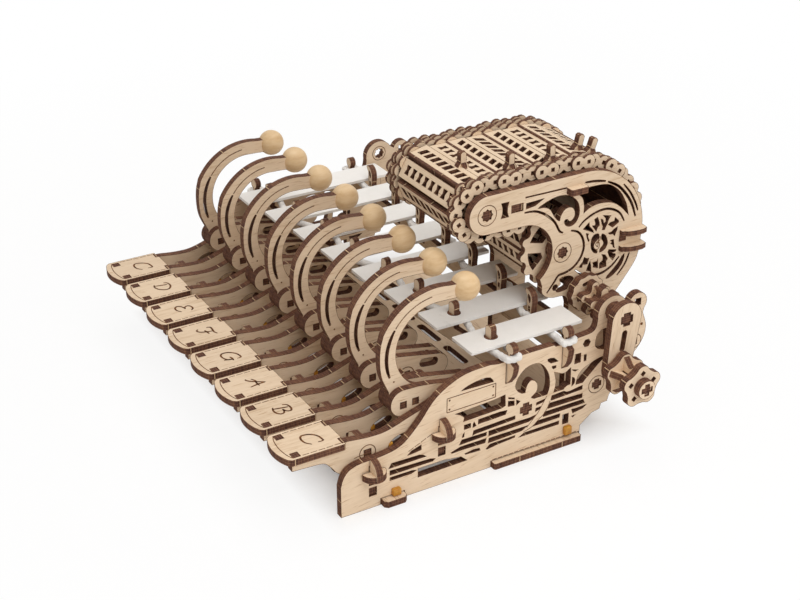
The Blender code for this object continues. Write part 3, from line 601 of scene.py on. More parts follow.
class Plane(Enum):
    """The axis that a plate stands across."""

    X = "X"
    Y = "Y"
    Z = "Z"

    def point(self, u: float, v: float, w: float) -> Vector:
        """Place a point of the plate: u and v lie in it, w across it."""
        if self is Plane.X:
            return Vector((w, u, v))
        if self is Plane.Y:
            return Vector((u, w, v))
        return Vector((u, v, w))

    @property
    def hand(self) -> int:
        """Whether u, v and w turn the usual way."""
        return -1 if self is Plane.Y else 1


class Workpiece:
    """Collects cut plates, engraved lines and turned parts into one mesh."""

    def __init__(self) -> None:
        """Start with an empty mesh."""
        self.mesh = bmesh.new()
        self.grain = self.mesh.loops.layers.uv.new("grain")

    def polygon(self, corners: Ring, spots: Loop, skin: Skin, flip: bool) -> None:
        """Add one polygon.

        Args:
            corners: Its corners.
            spots: Where each corner lies in the grain map, in millimetres.
            skin: Its finish.
            flip: Whether to turn it over.
        """
        if flip:
            corners, spots = corners[::-1], spots[::-1]
        if len(set(corners)) < len(corners):
            return
        try:
            made = self.mesh.faces.new(corners)
        except ValueError:
            return
        made.material_index = skin.value
        made.smooth = True
        for loop, spot in zip(made.loops, spots):
            loop[self.grain].uv = (spot[0] * MM, spot[1] * MM)

    def ring(self, loop: Loop, plane: Plane, level: float, lean: Matrix | None = None) -> Ring:
        """Place the corners of a loop at some level, moved with their plate."""
        spots = (plane.point(u, v, level) for u, v in loop)
        return [self.mesh.verts.new(lean @ spot if lean else spot) for spot in spots]

    def close(self, rings: list[Ring]) -> None:
        """Skin a row of rings and cap both ends."""
        count = len(rings[0])
        for low, high in zip(rings, rings[1:]):
            for step in range(count):
                after = (step + 1) % count
                self.polygon([low[step], low[after], high[after], high[step]], [(0.0, 0.0)] * 4, Skin.FACE,
                             False)
        for ring, flip in ((rings[0], True), (rings[-1], False)):
            self.polygon(ring, [(0.0, 0.0)] * count, Skin.FACE, flip)

    def plate(self, loops: list[Loop], thickness: float, plane: Plane, middle: float,
              grain: float = 0.0, rim: float = 0.18, lean: Matrix | None = None,
              skins: tuple[Skin, Skin] = (Skin.FACE, Skin.FACE), edge: Skin = Skin.EDGE) -> None:
        """Cut a plate.

        Args:
            loops: The outline first, then the holes.
            thickness: Thickness of the plate.
            plane: Axis that it stands across.
            middle: Its place along that axis.
            grain: Direction of the grain in degrees from the first axis.
            rim: Width of the scorched line along every edge, 0 for none.
            lean: Moves the finished plate, in millimetres.
            skins: Finish of the low and the high face.
            edge: Finish of the edges.
        """
        ordered = []
        for index, loop in enumerate(loops):
            ordered.append(loop if (area(loop) > 0) == (index == 0) else loop[::-1])
        turn = math.radians(-grain)
        cos, sin = math.cos(turn), math.sin(turn)
        flat = [point for loop in ordered for point in loop]
        spots = [(u * cos - v * sin, u * sin + v * cos) for u, v in flat]
        sides = [self.ring(flat, plane, middle + side * thickness / 2, lean) for side in (-1, 1)]
        triangles = tessellate_polygon([[Vector((u, v, 0.0)) for u, v in loop] for loop in ordered])
        for ring, side, skin in zip(sides, (-1, 1), skins):
            for a, b, c in triangles:
                way = area([flat[a], flat[b], flat[c]])
                if abs(way) < 1e-9:
                    continue
                flip = (way > 0) != (side * plane.hand > 0)
                self.polygon([ring[a], ring[b], ring[c]], [spots[a], spots[b], spots[c]], skin, flip)
        start = 0
        for loop in ordered:
            walked = 3.1 * start
            for index in range(len(loop)):
                a, b = start + index, start + (index + 1) % len(loop)
                step = math.dist(flat[a], flat[b])
                self.polygon([sides[0][a], sides[0][b], sides[1][b], sides[1][a]],
                             [(walked, 0.0), (walked + step, 0.0), (walked + step, thickness), (walked, thickness)],
                             edge, plane.hand < 0)
                walked += step
            start += len(loop)
        if rim:
            for loop in ordered:
                self.rim(loop, rim, plane, middle, thickness, lean)

    def rim(self, loop: Loop, width: float, plane: Plane, middle: float, thickness: float,
            lean: Matrix | None) -> None:
        """Scorch a thin line along one edge of a plate, on both faces.

        Args:
            loop: The edge, with the wood on its left.
            width: Width of the line.
            plane: Axis that the plate stands across.
            middle: Its place along that axis.
            thickness: Thickness of the plate.
            lean: Moves the line with the plate.
        """
        count = len(loop)
        inner = []
        for index, (u, v) in enumerate(loop):
            before, after = loop[index - 1], loop[(index + 1) % count]
            a = Vector((u - before[0], v - before[1])).normalized()
            b = Vector((after[0] - u, after[1] - v)).normalized()
            normal = Vector((-a.y - b.y, a.x + b.x))
            if normal.length < 0.2:
                normal = Vector((-b.y, b.x))
            normal.normalize()
            reach = width / max(normal.dot(Vector((-b.y, b.x))), 0.5)
            inner.append((u + normal.x * reach, v + normal.y * reach))
        for side in (-1, 1):
            level = middle + side * (thickness / 2 + SKIN)
            near, far = [self.ring(edge, plane, level, lean) for edge in (loop, inner)]
            for index in range(count):
                after = (index + 1) % count
                self.polygon([near[index], near[after], far[after], far[index]],
                             [loop[index], loop[after], inner[after], inner[index]],
                             Skin.SCORCH, side * plane.hand < 0)

    def patch(self, loop: Loop, plane: Plane, level: float, side: int) -> None:
        """Lay a flat engraved figure just above a face.

        Args:
            loop: Its outline.
            plane: Axis that the face stands across.
            level: Place of the face along that axis.
            side: 1 for a face that looks along the axis, -1 for the other.
        """
        ring = self.ring(loop, plane, level + side * SKIN * 1.5)
        for a, b, c in tessellate_polygon([[Vector((u, v, 0.0)) for u, v in loop]]):
            way = area([loop[a], loop[b], loop[c]])
            flip = (way > 0) != (side * plane.hand > 0)
            self.polygon([ring[a], ring[b], ring[c]], [loop[a], loop[b], loop[c]], Skin.SCORCH, flip)

    def engrave(self, points: Loop, width: float, plane: Plane, level: float, side: int,
                dash: float = 0.0, taper: float = 0.0) -> None:
        """Engrave a line, whole or dashed.

        Args:
            points: The middle of the line.
            width: Its width.
            plane: Axis that the face stands across.
            level: Place of the face along that axis.
            side: Which way the face looks.
            dash: Length of a dash, 0 for a whole line.
            taper: Share of the width lost at the ends.
        """
        if not dash:
            self.patch(stroke(points, width, taper), plane, level, side)
            return
        walked, run = 0.0, [points[0]]
        for a, b in zip(points, points[1:]):
            length = math.dist(a, b)
            while walked + length >= dash:
                share = (dash - walked) / length
                a = (a[0] + (b[0] - a[0]) * share, a[1] + (b[1] - a[1]) * share)
                run.append(a)
                if len(run) > 1:
                    self.patch(stroke([run[0], run[-1]] if len(run) < 3 else run, width), plane, level, side)
                gap = dash * 0.22
                left = math.dist(a, b)
                if left <= gap:
                    a = b
                else:
                    a = (a[0] + (b[0] - a[0]) * gap / left, a[1] + (b[1] - a[1]) * gap / left)
                run = [a]
                walked = 0.0
                length = math.dist(a, b)
                if length < 1e-6:
                    break
            walked += length
            if length > 1e-6:
                run.append(b)
        if len(run) > 1 and walked > dash * 0.2:
            self.patch(stroke(run, width), plane, level, side)

    def ring_line(self, u: float, v: float, radius: float, width: float, plane: Plane, level: float,
                  side: int) -> None:
        """Engrave a full circle."""
        count = 28
        outer = circle(u, v, radius + width / 2, count)
        inner = circle(u, v, radius - width / 2, count)
        for index in range(count):
            after = (index + 1) % count
            self.patch([inner[index], outer[index], outer[after], inner[after]], plane, level, side)

    def lathe(self, profile: Loop, axis: Plane, centre: Vector, count: int, skin: Skin) -> None:
        """Turn a profile about an axis.

        Args:
            profile: Points as distance along the axis and radius.
            axis: The axis.
            centre: Where the axis passes.
            count: Steps round it.
            skin: Finish of the surface.
        """
        rings = []
        for along, radius in profile:
            ring = []
            for step in range(count):
                angle = 2 * math.pi * step / count
                around = axis.point(radius * math.cos(angle), radius * math.sin(angle), along)
                ring.append(self.mesh.verts.new(centre + around))
            rings.append(ring)
        for (low, high), (a, b) in zip(zip(rings, rings[1:]), zip(profile, profile[1:])):
            for step in range(count):
                after = (step + 1) % count
                around = 2 * math.pi * max(a[1], b[1])
                spots = [(around * step / count, a[0]), (around * (step + 1) / count, a[0]),
                         (around * (step + 1) / count, b[0]), (around * step / count, b[0])]
                self.polygon([low[step], low[after], high[after], high[step]], spots, skin, axis.hand < 0)
        for ring, flip in ((rings[0], True), (rings[-1], False)):
            self.polygon(list(ring), [(v.co.x + v.co.y, v.co.z) for v in ring], skin,
                         flip != (axis.hand < 0))

    def tube(self, route: list[Triple], radius: float, strands: int, lay: float,
             count: int = 18) -> None:
        """Twist a cord along a route.

        Args:
            route: Points along its middle.
            radius: Its radius.
            strands: How many strands show.
            lay: Length of one full twist.
            count: Points round it.
        """
        points = [Vector(point) for point in route]
        side = Vector((0.0, 0.0, 1.0))
        walked = 0.0
        rings = []
        for index, point in enumerate(points):
            ahead = points[min(index + 1, len(points) - 1)] - points[max(index - 1, 0)]
            ahead.normalize()
            side = (side - ahead * side.dot(ahead)).normalized()
            across = ahead.cross(side)
            if index:
                walked += (point - points[index - 1]).length
            end = min(index, len(points) - 1 - index)
            swell = min(1.0, 0.45 + end * 0.35)
            ring = []
            for step in range(count):
                angle = 2 * math.pi * step / count
                wave = abs(math.cos(strands / 2 * (angle - 2 * math.pi * walked / lay)))
                fuzz = 0.5 * math.sin(walked * 2.3 + step) * math.sin(walked * 0.71 + 2 * step)
                reach = radius * swell * (0.84 + 0.14 * wave + 0.03 * fuzz)
                out = side * math.cos(angle) + across * math.sin(angle)
                ring.append(self.mesh.verts.new(point + out * reach))
            rings.append(ring)
        self.close(rings)

    def pebble(self, centre: Vector, half: Triple, power: float = 0.55) -> None:
        """Mould a soft block with rounded corners.

        Args:
            centre: Its middle.
            half: Half its size along each axis.
            power: 1 for an egg, towards 0 for a block.
        """
        rows, columns = 10, 20
        grid = []
        for row in range(1, rows):
            lat = math.pi * (row / rows - 0.5)
            ring = []
            for column in range(columns):
                lon = 2 * math.pi * column / columns
                parts = (math.cos(lat) * math.cos(lon), math.cos(lat) * math.sin(lon), math.sin(lat))
                spot = [math.copysign(abs(p) ** power, p) * h for p, h in zip(parts, half)]
                ring.append(self.mesh.verts.new(centre + Vector(spot)))
            grid.append(ring)
        self.close(grid)

    def finish(self, name: str, datum: Datum, pivot: Triple,
               materials: list[Material], sharp: float = 35.0) -> Piece:
        """Close the mesh and put the piece in the scene.

        Args:
            name: Name of the piece.
            datum: Where the drawing lies in the frame.
            pivot: Drawing point that becomes the origin of the piece.
            materials: Its finishes in the order of Skin.
            sharp: Angle in degrees beyond which an edge is crisp.

        Returns:
            The piece.
        """
        centre = Vector(pivot)
        for vert in self.mesh.verts:
            vert.co = (vert.co - centre) * MM
        mesh = bpy.data.meshes.new(name)
        self.mesh.to_mesh(mesh)
        self.mesh.free()
        for material in materials:
            mesh.materials.append(material)
        mesh.set_sharp_from_angle(angle=math.radians(sharp))
        made = bpy.data.objects.new(name, mesh)
        made.location = datum.world(*pivot)
        bpy.context.scene.collection.objects.link(made)
        return made


@dataclass
class Shop:
    """What every sub-assembly needs: the datum and the finishes."""

    datum: Datum
    finishes: Finishes

    def cut(self, work: Workpiece, name: str, pivot: Triple) -> Piece:
        """Finish a piece of plywood."""
        return work.finish(name, self.datum, pivot, self.finishes.wood())

    def place(self, piece: Piece, body: str, slot_name: str, *nodes: str) -> Piece:
        """Hang a piece on its body.

        Args:
            piece: The piece.
            body: Body that it rides on.
            slot_name: Material slot of the record; not used.
            *nodes: CAD nodes that it stands for.

        Returns:
            The piece.
        """
        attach(piece, body)
        if nodes:
            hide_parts(*nodes)
        log.info("%s on %s: %d faces", piece.name, body, len(piece.data.polygons))
        return piece

    def copy(self, piece: Piece, name: str, x: float) -> Piece:
        """Place the same mesh again.

        Args:
            piece: The first piece.
            name: Name of the copy.
            x: How far along X, in millimetres.

        Returns:
            The copy, which rides on nothing yet.
        """
        made = bpy.data.objects.new(name, piece.data)
        made.location = Vector(piece.location) + Vector((x * MM, 0.0, 0.0))
        bpy.context.scene.collection.objects.link(made)
        return made


def key_middle(index: int) -> float:
    """Return X of the middle of one key, hammer and bar."""
    return FIRST_KEY + KEY_PITCH * index


def add_bearing(work: Workpiece, u: float, v: float, level: float, side: int, radius: float = 3.9) -> None:
    """Engrave the round bearing disc that sits in a plate.

    Args:
        work: The piece it sits in.
        u: Its middle along Y.
        v: Its middle along Z.
        level: X of the face.
        side: Which way the face looks.
        radius: Radius of the disc.
    """
    work.ring_line(u, v, radius, 0.45, Plane.X, level, side)


# Sub-assemblies


LETTERS: dict[str, list[Loop]] = {
    "C": [[(3.9, 1.5), (3.9, 3.8), (2.4, 4.0), (-0.6, 3.4), (-3.1, 1.0), (-3.9, -2.0), (-3.1, -3.4),
           (-1.1, -4.0), (1.4, -3.7), (2.9, -2.7), (4.1, -1.6)]],
    "D": [[(-0.9, 2.9), (-1.4, 0.0), (-2.2, -3.5)],
          [(-3.6, 1.9), (-2.6, 3.4), (0.6, 3.9), (3.4, 2.4), (3.9, 0.0), (2.0, -2.8), (-1.0, -3.9),
           (-3.4, -3.2)]],
    "E": [[(3.4, 2.4), (2.2, 3.8), (-0.2, 3.8), (-1.6, 2.5), (-0.8, 0.8), (0.9, 0.4)],
          [(0.9, 0.4), (-1.9, -0.3), (-3.4, -2.1), (-2.2, -3.8), (0.4, -3.9), (2.8, -2.4)]],
    "F": [[(-3.6, 1.4), (-3.0, 3.2), (-0.6, 3.3), (2.0, 3.0), (4.2, 3.9)],
          [(1.0, 3.1), (0.4, 0.2), (-0.8, -2.8), (-2.6, -3.9), (-3.8, -2.8)],
          [(-1.4, -0.4), (0.6, 0.0), (2.6, 0.3)]],
    "G": [[(3.6, 1.9), (3.5, 3.7), (2.0, 4.0), (-0.8, 3.2), (-3.2, 0.8), (-3.8, -2.0), (-2.6, -3.7),
           (0.0, -3.8), (2.4, -2.6), (3.2, -0.4)], [(0.6, -0.6), (2.4, -0.2), (4.4, -0.3)],
          [(3.2, -0.4), (2.8, -2.2), (2.2, -4.2)]],
    "A": [[(-4.2, -3.2), (-2.8, -3.0), (-0.6, -0.6), (2.2, 3.9)], [(2.2, 3.9), (2.3, 0.4), (3.2, -3.9)],
          [(-3.2, -0.8), (-1.0, 0.3), (1.2, 0.0), (3.8, 0.2)]],
    "B": [[(-0.6, 3.2), (-1.2, 0.2), (-2.0, -3.8)],
          [(-3.6, 1.6), (-2.4, 3.4), (0.4, 3.9), (2.6, 3.0), (2.0, 1.0), (-0.2, 0.2)],
          [(-0.2, 0.2), (2.4, -0.2), (3.2, -2.0), (1.4, -3.7), (-1.2, -3.9), (-3.2, -3.1)]],
}
PAD_LETTERS = ("C", "D", "E", "F", "G", "A", "B", "C")


@dataclass
class Keyboard:
    """Eight keys: an engraved pad on two curved sides, on one square axle."""

    shop: Shop
    pad_top: float = 35.0
    pad_width: float = 22.2
    corner_y: float = -26.2
    bulge: float = 3.0
    inside: float = 6.0
    pivot: Pair = (11.1, 25.9)
    letter_centre: float = -11.0

    def pad_outline(self) -> Loop:
        """Draw a pad about its own middle, with notches for the sides of the key."""
        half = self.pad_width / 2
        radius = (half ** 2 + self.bulge ** 2) / (2 * self.bulge)
        spread = math.degrees(math.asin(half / radius))
        front = arc(0.0, self.corner_y - self.bulge + radius, radius, 270 - spread + 4, 270 + spread - 4, 14)
        outer, inner = self.inside + PLY + 0.3, self.inside - 0.3
        right = [(half, self.corner_y + 0.9), (half, -0.4), (half - 0.4, 0.0), (outer, 0.0), (outer, -1.2),
                 (inner, -1.2), (inner, 0.6)]
        left = [(-u, v) for u, v in reversed(right)]
        return front + right + left

    def pad(self, index: int) -> Piece:
        """Cut and engrave one pad.

        Args:
            index: Which key.

        Returns:
            The pad.
        """
        work = Workpiece()
        middle = key_middle(index)
        shift = Matrix.Translation((middle, 0.0, 0.0))
        sides = []
        for side in (-1, 1):
            low = side * (self.inside + PLY / 2) - PLY / 2
            sides.append(box(low, -24.2, low + PLY, -20.7))
        work.plate([self.pad_outline()] + sides, THIN_PLY, Plane.Z, self.pad_top - THIN_PLY / 2,
                   grain=90.0, lean=shift)
        for hole in sides:
            low = hole[0][0]
            block = box(low + 0.15, -24.05, low + PLY - 0.15, -20.85)
            work.plate([block], THIN_PLY, Plane.Z, self.pad_top - THIN_PLY / 2 - 0.15, lean=shift, **END_GRAIN)
        for side in (-1, 1):
            edge = [(middle + side * 9.6, -1.6), (middle + side * 9.6, -19.8)]
            work.engrave(edge, 0.4, Plane.Z, self.pad_top, 1, dash=3.1)
        front = smooth([(-9.4, -24.2), (-6.0, -25.5), (0.0, -26.2), (6.0, -25.6), (9.4, -24.4)], 4)
        work.engrave([(middle + u, v) for u, v in front], 0.42, Plane.Z, self.pad_top, 1)
        for line in LETTERS[PAD_LETTERS[index]]:
            run = smooth([(middle + u, self.letter_centre + v) for u, v in line], 4)
            work.engrave(run, 0.95, Plane.Z, self.pad_top, 1, taper=0.45)
        return self.shop.cut(work, "engraved_pad_" + NOTES[index], (middle, self.pivot[0], self.pivot[1]))

    def side_outline(self) -> Loop:
        """Draw the side view of a key."""
        top = smooth([(45.4, 42.3), (38.6, 39.6), (30.5, 37.0), (24.3, 34.9), (18.0, 33.6), (10.0, 33.8),
                      (2.1, 34.8)], 3) + [(-1.0, 34.9)]
        under = [(-1.0, 31.9), (-20.8, 31.9), (-20.8, 34.6), (-24.0, 34.6), (-24.0, 31.9), (-25.0, 31.9)]
        belly = smooth([(-25.0, 28.4), (-16.0, 28.0), (-10.0, 27.3), (-6.8, 24.4), (-2.6, 19.6), (6.0, 17.3),
                        (20.0, 17.7), (32.0, 21.0), (42.0, 25.4), (45.4, 29.0)], 4)
        return top + under + belly

    def lever(self) -> Piece:
        """Assemble one key under its pad."""
        work = Workpiece()
        middle = key_middle(0)
        window = smooth([(21.4, 25.6), (22.4, 27.6), (24.8, 29.2), (27.4, 30.0), (30.6, 30.0), (32.0, 29.0),
                         (31.2, 27.4), (28.6, 25.9), (25.4, 24.9), (22.4, 24.2)], 2, closed=True)
        square = square_hole(*self.pivot, 1.75)
        for side in (-1, 1):
            place = middle + side * (self.inside + PLY / 2)
            level = place + side * PLY / 2
            work.plate([self.side_outline(), window, square], PLY, Plane.X, place)
            add_bearing(work, *self.pivot, level, side)
            work.engrave(arc(8.0, 14.0, 11.6, 62, 108, 6), 0.3, Plane.X, level, side)
        reach = self.inside + 0.2
        brace = [(middle - 2.1, 28.6), (middle + reach, 28.6), (middle + reach, 33.0), (middle + 1.0, 33.0),
                 (middle - 1.6, 31.4)]
        work.plate([brace], THIN_PLY, Plane.Y, 9.5)
        work.plate([box(middle - reach, 24.4, middle + reach, 30.4)], THIN_PLY, Plane.Y, 40.1)
        work.plate([box(middle - reach, -21.4, middle + reach, -17.6)], THIN_PLY, Plane.Z, 30.2)
        return self.shop.cut(work, "cut_key_" + NOTES[0], (middle, *self.pivot))

    def rubber(self) -> Piece:
        """Mould the amber band end that shows in the window of a key."""
        work = Workpiece()
        middle = key_middle(0)
        for side in (-1, 1):
            place = middle + side * (self.inside + PLY / 2)
            work.pebble(Vector((place, 22.6, 26.2)), (2.1, 1.2, 1.3), 0.4)
        return work.finish("key_band_" + NOTES[0], self.shop.datum, (middle, *self.pivot),
                           [self.shop.finishes.rubber])

    def build(self) -> None:
        """Build all keys and their axle."""
        first = self.lever()
        band = self.rubber()
        for index, note in enumerate(NOTES):
            self.shop.place(self.pad(index), "key_body_" + note, "birch", "pad_" + note)
            for piece, stem, nodes in ((first, "cut_key_", ["key_" + note]), (band, "key_band_", [])):
                made = piece if index == 0 else self.shop.copy(piece, stem + note, KEY_PITCH * index)
                self.shop.place(made, "key_body_" + note, "birch", *nodes)


@dataclass
class HammerRow:
    """Eight hammers: a curved arm between two cheeks, with a turned ball on its end."""

    shop: Shop
    pivot: Pair = (48.8, 37.4)
    boss: float = 6.5
    back: Triple = (50.5, 61.5, 30.4)
    inner: Triple = (50.0, 64.5, 20.3)
    nose: Triple = (31.5, 42.2, 6.5)
    tail: Triple = (65.0, 38.0, 5.8)
    ball: Pair = (65.3, 87.9)
    ball_radius: float = 6.55

    def arm_outline(self) -> Loop:
        """Draw the curved arm."""
        back = [(60.0, 91.1)] + arc(*self.back, 78.4, 152, 18)
        back += smooth([(22.4, 71.4), (21.9, 67.4), (21.8, 62.6), (22.2, 57.8), (23.1, 54.1), (24.6, 50.5),
                        (26.1, 47.3)], 3)
        nose = arc(self.nose[0], self.nose[1], self.nose[2] - 0.15, 148, 270, 9)
        pivot = arc(*self.pivot, self.boss - 0.15, 255, 390, 10)
        inside = arc(*self.inner, 252, 84, 28)
        return back + nose + pivot + inside + [(56.0, 84.6), (60.0, 84.3)]

    def cheek_outline(self) -> Loop:
        """Draw one cheek."""
        nose = arc(*self.nose, 90, 275, 16)
        pivot = arc(*self.pivot, self.boss, 255, 280, 4)
        tail = arc(*self.tail, 270, 450, 14)
        return nose + pivot + tail + smooth([(58.0, 45.2), (52.0, 46.4), (44.2, 47.9), (37.0, 48.7)], 3)[:-1]

    def hammer(self) -> Piece:
        """Assemble one hammer."""
        work = Workpiece()
        middle = key_middle(0)
        groove = [(26.6, 54.4)] + arc(50.3, 63.0, 25.2, 196, 147, 16)
        line = arc(50.3, 63.0, 25.2, 145, 96, 16)
        square = square_hole(*self.pivot, 1.75)
        work.plate([self.arm_outline(), stroke(groove, 1.5, 0.55), square], PLY, Plane.X, middle)
        for side in (-1, 1):
            level = middle + side * PLY / 2
            work.engrave(line, 0.5, Plane.X, level, side, dash=2.6)
            work.patch(circle(28.7, 51.8, 0.45, 8), Plane.X, level, side)
        pegs = [box(29.8, 39.6, 32.9, 42.8), box(35.9, 39.9, 39.0, 43.1)]
        window = slot((57.8, 41.0), (63.4, 40.4), 4.0, 6)
        for side in (-1, 1):
            place = middle + side * PLY
            work.plate([self.cheek_outline(), window, square] + pegs, PLY, Plane.X, place)
            for hole in pegs:
                low, high = hole[0], hole[2]
                tenon = box(low[0] + 0.1, low[1] + 0.1, high[0] - 0.1, high[1] - 0.1)
                work.plate([tenon], PLY - 1.0, Plane.X, place - side * 0.2, **END_GRAIN)
            add_bearing(work, *self.pivot, place + side * PLY / 2, side)
        return self.shop.cut(work, "cut_hammer_" + NOTES[0], (middle, *self.pivot))

    def bead(self) -> Piece:
        """Turn one ball, bored through along the arm."""
        work = Workpiece()
        middle = key_middle(0)
        radius = self.ball_radius
        start = math.degrees(math.asin(1.3 / radius))
        profile = [(-radius + 1.2, 0.02), (-radius + 1.0, 1.15)]
        for step in range(37):
            angle = math.radians(180 - start - (180 - 2 * start) * step / 36)
            profile.append((radius * math.cos(angle), radius * math.sin(angle)))
        profile += [(radius - 1.0, 1.15), (radius - 1.2, 0.02)]
        work.lathe(profile, Plane.Y, Vector((middle, *self.ball)), 40, Skin.FACE)
        return work.finish("turned_ball_" + NOTES[0], self.shop.datum, (middle, *self.pivot),
                           [self.shop.finishes.bead], sharp=50.0)

    def build(self) -> None:
        """Build all hammers."""
        pieces = ((self.hammer(), "cut_hammer_", "hammer_", "birch"),
                  (self.bead(), "turned_ball_", "ball_", "bead"))
        for index, note in enumerate(NOTES):
            for first, stem, node, slot_name in pieces:
                made = first if index == 0 else self.shop.copy(first, stem + note, KEY_PITCH * index)
                self.shop.place(made, "hammer_body_" + note, slot_name, node + note)


@dataclass
class BarDeck:
    """Eight pale bars on two soft cords, held by slanted rails with pegs and hooks."""

    shop: Shop
    width: float = 16.5
    top: float = 59.0
    thickness: float = 1.5
    high_length: float = 59.4
    front_rail: Pair = (80.6, 0.085)
    rear_rail: Pair = (110.7, -0.045)
    setback: float = 1.6
    rail_top: float = 52.4
    rail_bottom: float = 45.0
    cord_radius: float = 1.75
    panel_outer: float = 213.9
    left_end: float = -6.7
    tab: float = 4.0
    hook_offset: float = 11.4
    notch_floors: Pair = (42.0, 40.9)

    def rail_y(self, rail: Pair, x: float) -> float:
        """Return Y of the middle of a rail at some X."""
        return rail[0] + rail[1] * (x - self.panel_outer)

    def span(self, index: int) -> Pair:
        """Return the front and rear Y of a bar."""
        length = self.high_length * 2 ** ((SEMITONES[-1] - SEMITONES[index]) / 24)
        x = key_middle(index)
        middle = (self.rail_y(self.front_rail, x) + self.rail_y(self.rear_rail, x)) / 2 - self.setback
        return middle - length / 2, middle + length / 2

    def bar(self, index: int) -> Piece:
        """Cut one bar, with eased corners and a hole for its peg."""
        work = Workpiece()
        x = key_middle(index)
        front, rear = self.span(index)
        half, ease = self.width / 2, 0.5
        outline = []
        for u, v, start in ((half, front, 270), (half, rear, 0), (-half, rear, 90), (-half, front, 180)):
            cu = x + u - math.copysign(ease, u)
            cv = v + (ease if v == front else -ease)
            outline += arc(cu, cv, ease, start, start + 90, 3)
        hole = circle(x, self.rail_y(self.front_rail, x), 3.2, 20)
        work.plate([outline, hole], self.thickness, Plane.Z, self.top - self.thickness / 2, rim=0.0, edge=Skin.FACE)
        piece = work.finish("sound_bar_" + NOTES[index], self.shop.datum,
                            (x, self.rail_y(self.front_rail, x), self.top), [self.shop.finishes.bar], sharp=20.0)
        soften = piece.modifiers.new("soft edge", "BEVEL")
        soften.width = 0.00022
        soften.segments = 2
        soften.limit_method = "ANGLE"
        soften.angle_limit = math.radians(40)
        return piece

    def washer(self, index: int) -> Piece:
        """Cut the small square-holed washer at the foot of a front peg."""
        work = Workpiece()
        x = key_middle(index)
        y = self.rail_y(self.front_rail, x)
        work.plate([circle(x, y, 3.1, 20), box(x - 2.3, y - 1.7, x + 2.3, y + 1.7)], 1.2, Plane.Z,
                   self.top - 0.5, **END_GRAIN)
        return self.shop.cut(work, "peg_washer_" + NOTES[index], (x, y, self.top))

    def rail_outline(self, rail: Pair, floor: float, upright: Loop, places: list[float]) -> Loop:
        """Draw a rail along its own length.

        Args:
            rail: Its place and slope.
            floor: Height of the floor of its notches.
            upright: Outline of one peg or hook about its middle.
            places: X of each upright.

        Returns:
            The outline.
        """
        stretch = math.sqrt(1 + rail[1] ** 2)
        outer = self.panel_outer
        start = outer - (outer - self.left_end) * stretch
        end = outer + (self.tab + 0.6) * stretch
        inner_left = outer - (outer - 0.9) * stretch
        inner_right = outer - (outer - 210.3) * stretch
        floor += 0.3
        bottom = [(start + 4.2, floor), (inner_left + 1.0, floor), (inner_left + 4.0, self.rail_bottom),
                  (inner_right - 4.0, self.rail_bottom), (inner_right - 1.0, floor), (end - 4.2, floor)]
        right = smooth([(end - 4.2, floor), (end - 1.6, floor + 3.4), (end - 0.4, 49.0), (end, 52.0)], 4)[1:]
        right += [(end - 2.6, 53.4), (end - 2.8, 57.6)]
        right += arc(end - 3.4, 59.8, 2.7, -50, 230, 12) + [(end - 4.6, 57.6), (end - 4.6, self.rail_top)]
        left = [(start + end - u, v) for u, v in reversed(right)]
        points = bottom + right
        for x in reversed(places):
            place = outer - (outer - x) * stretch
            points += [(place + u, v) for u, v in upright]
        return points + left

    def rail(self, name: str, rail: Pair, floor: float, upright: Loop, places: list[float],
             holes: list[Loop]) -> Piece:
        """Cut one rail and turn it to its slant.

        Args:
            name: Name of the piece.
            rail: Its place and slope.
            floor: Height of the floor of its notches.
            upright: Outline of one peg or hook.
            places: X of each upright.
            holes: Windows in each upright, about its middle.

        Returns:
            The rail.
        """
        work = Workpiece()
        stretch = math.sqrt(1 + rail[1] ** 2)
        lean = (Matrix.Translation((self.panel_outer, rail[0], 0.0))
                @ Matrix.Rotation(math.atan(rail[1]), 4, "Z")
                @ Matrix.Translation((-self.panel_outer, -rail[0], 0.0)))
        loops = [self.rail_outline(rail, floor, upright, places)]
        for x in places:
            place = self.panel_outer - (self.panel_outer - x) * stretch
            loops += [[(place + u, v) for u, v in hole] for hole in holes]
        for index in range(7):
            place = 24.6 + KEY_PITCH * index
            loops.append(slot((place - 5.0, 48.4), (place + 5.0, 48.4), 2.0, 4))
        work.plate(loops, THIN_PLY, Plane.Y, rail[0], lean=lean)
        return self.shop.cut(work, name, (0.0, 0.0, 0.0))

    def route(self, rail: Pair, uprights: list[float]) -> list[Triple]:
        """Return the points that a cord passes: each upright on alternate sides, a turn at each end."""
        aside = THIN_PLY / 2 + self.cord_radius + 0.5
        height = self.top - self.thickness - 0.3 - self.cord_radius
        ends = []
        for place, outward in ((self.panel_outer + self.tab - 3.4, 1), (self.left_end + 3.4, -1)):
            loop = []
            for turn in (90, 45, 0, -45, -90):
                angle = math.radians(turn)
                out = (0.6 + self.cord_radius) * math.cos(angle) ** 0.6
                tuck = (aside - 0.7) * abs(math.sin(angle)) ** 0.6
                loop.append((place + outward * out, math.copysign(tuck, turn)))
            ends.append(loop)
        right, left = ends
        inside = [(self.panel_outer - 9.0, aside)] + right
        side = -1
        for upright in reversed(uprights):
            inside += [(upright + 3.0, side * aside), (upright - 3.0, side * aside)]
            side = -side
        inside += [(u, side * v) for u, v in reversed(left)] + [(0.9 + 6.0, side * aside)]
        return [(x, self.rail_y(rail, x) + offset, height) for x, offset in inside]

    def cord(self, name: str, rail: Pair, uprights: list[float]) -> Piece:
        """Twist one soft cord along its rail.

        Args:
            name: Name of the piece.
            rail: The rail that it winds along.
            uprights: X of the uprights that it passes.

        Returns:
            The cord.
        """
        work = Workpiece()
        work.tube(smooth(self.route(rail, uprights), 14), self.cord_radius, 3, 9.0)
        return work.finish(name, self.shop.datum, (0.0, 0.0, 0.0), [self.shop.finishes.cord], sharp=80.0)

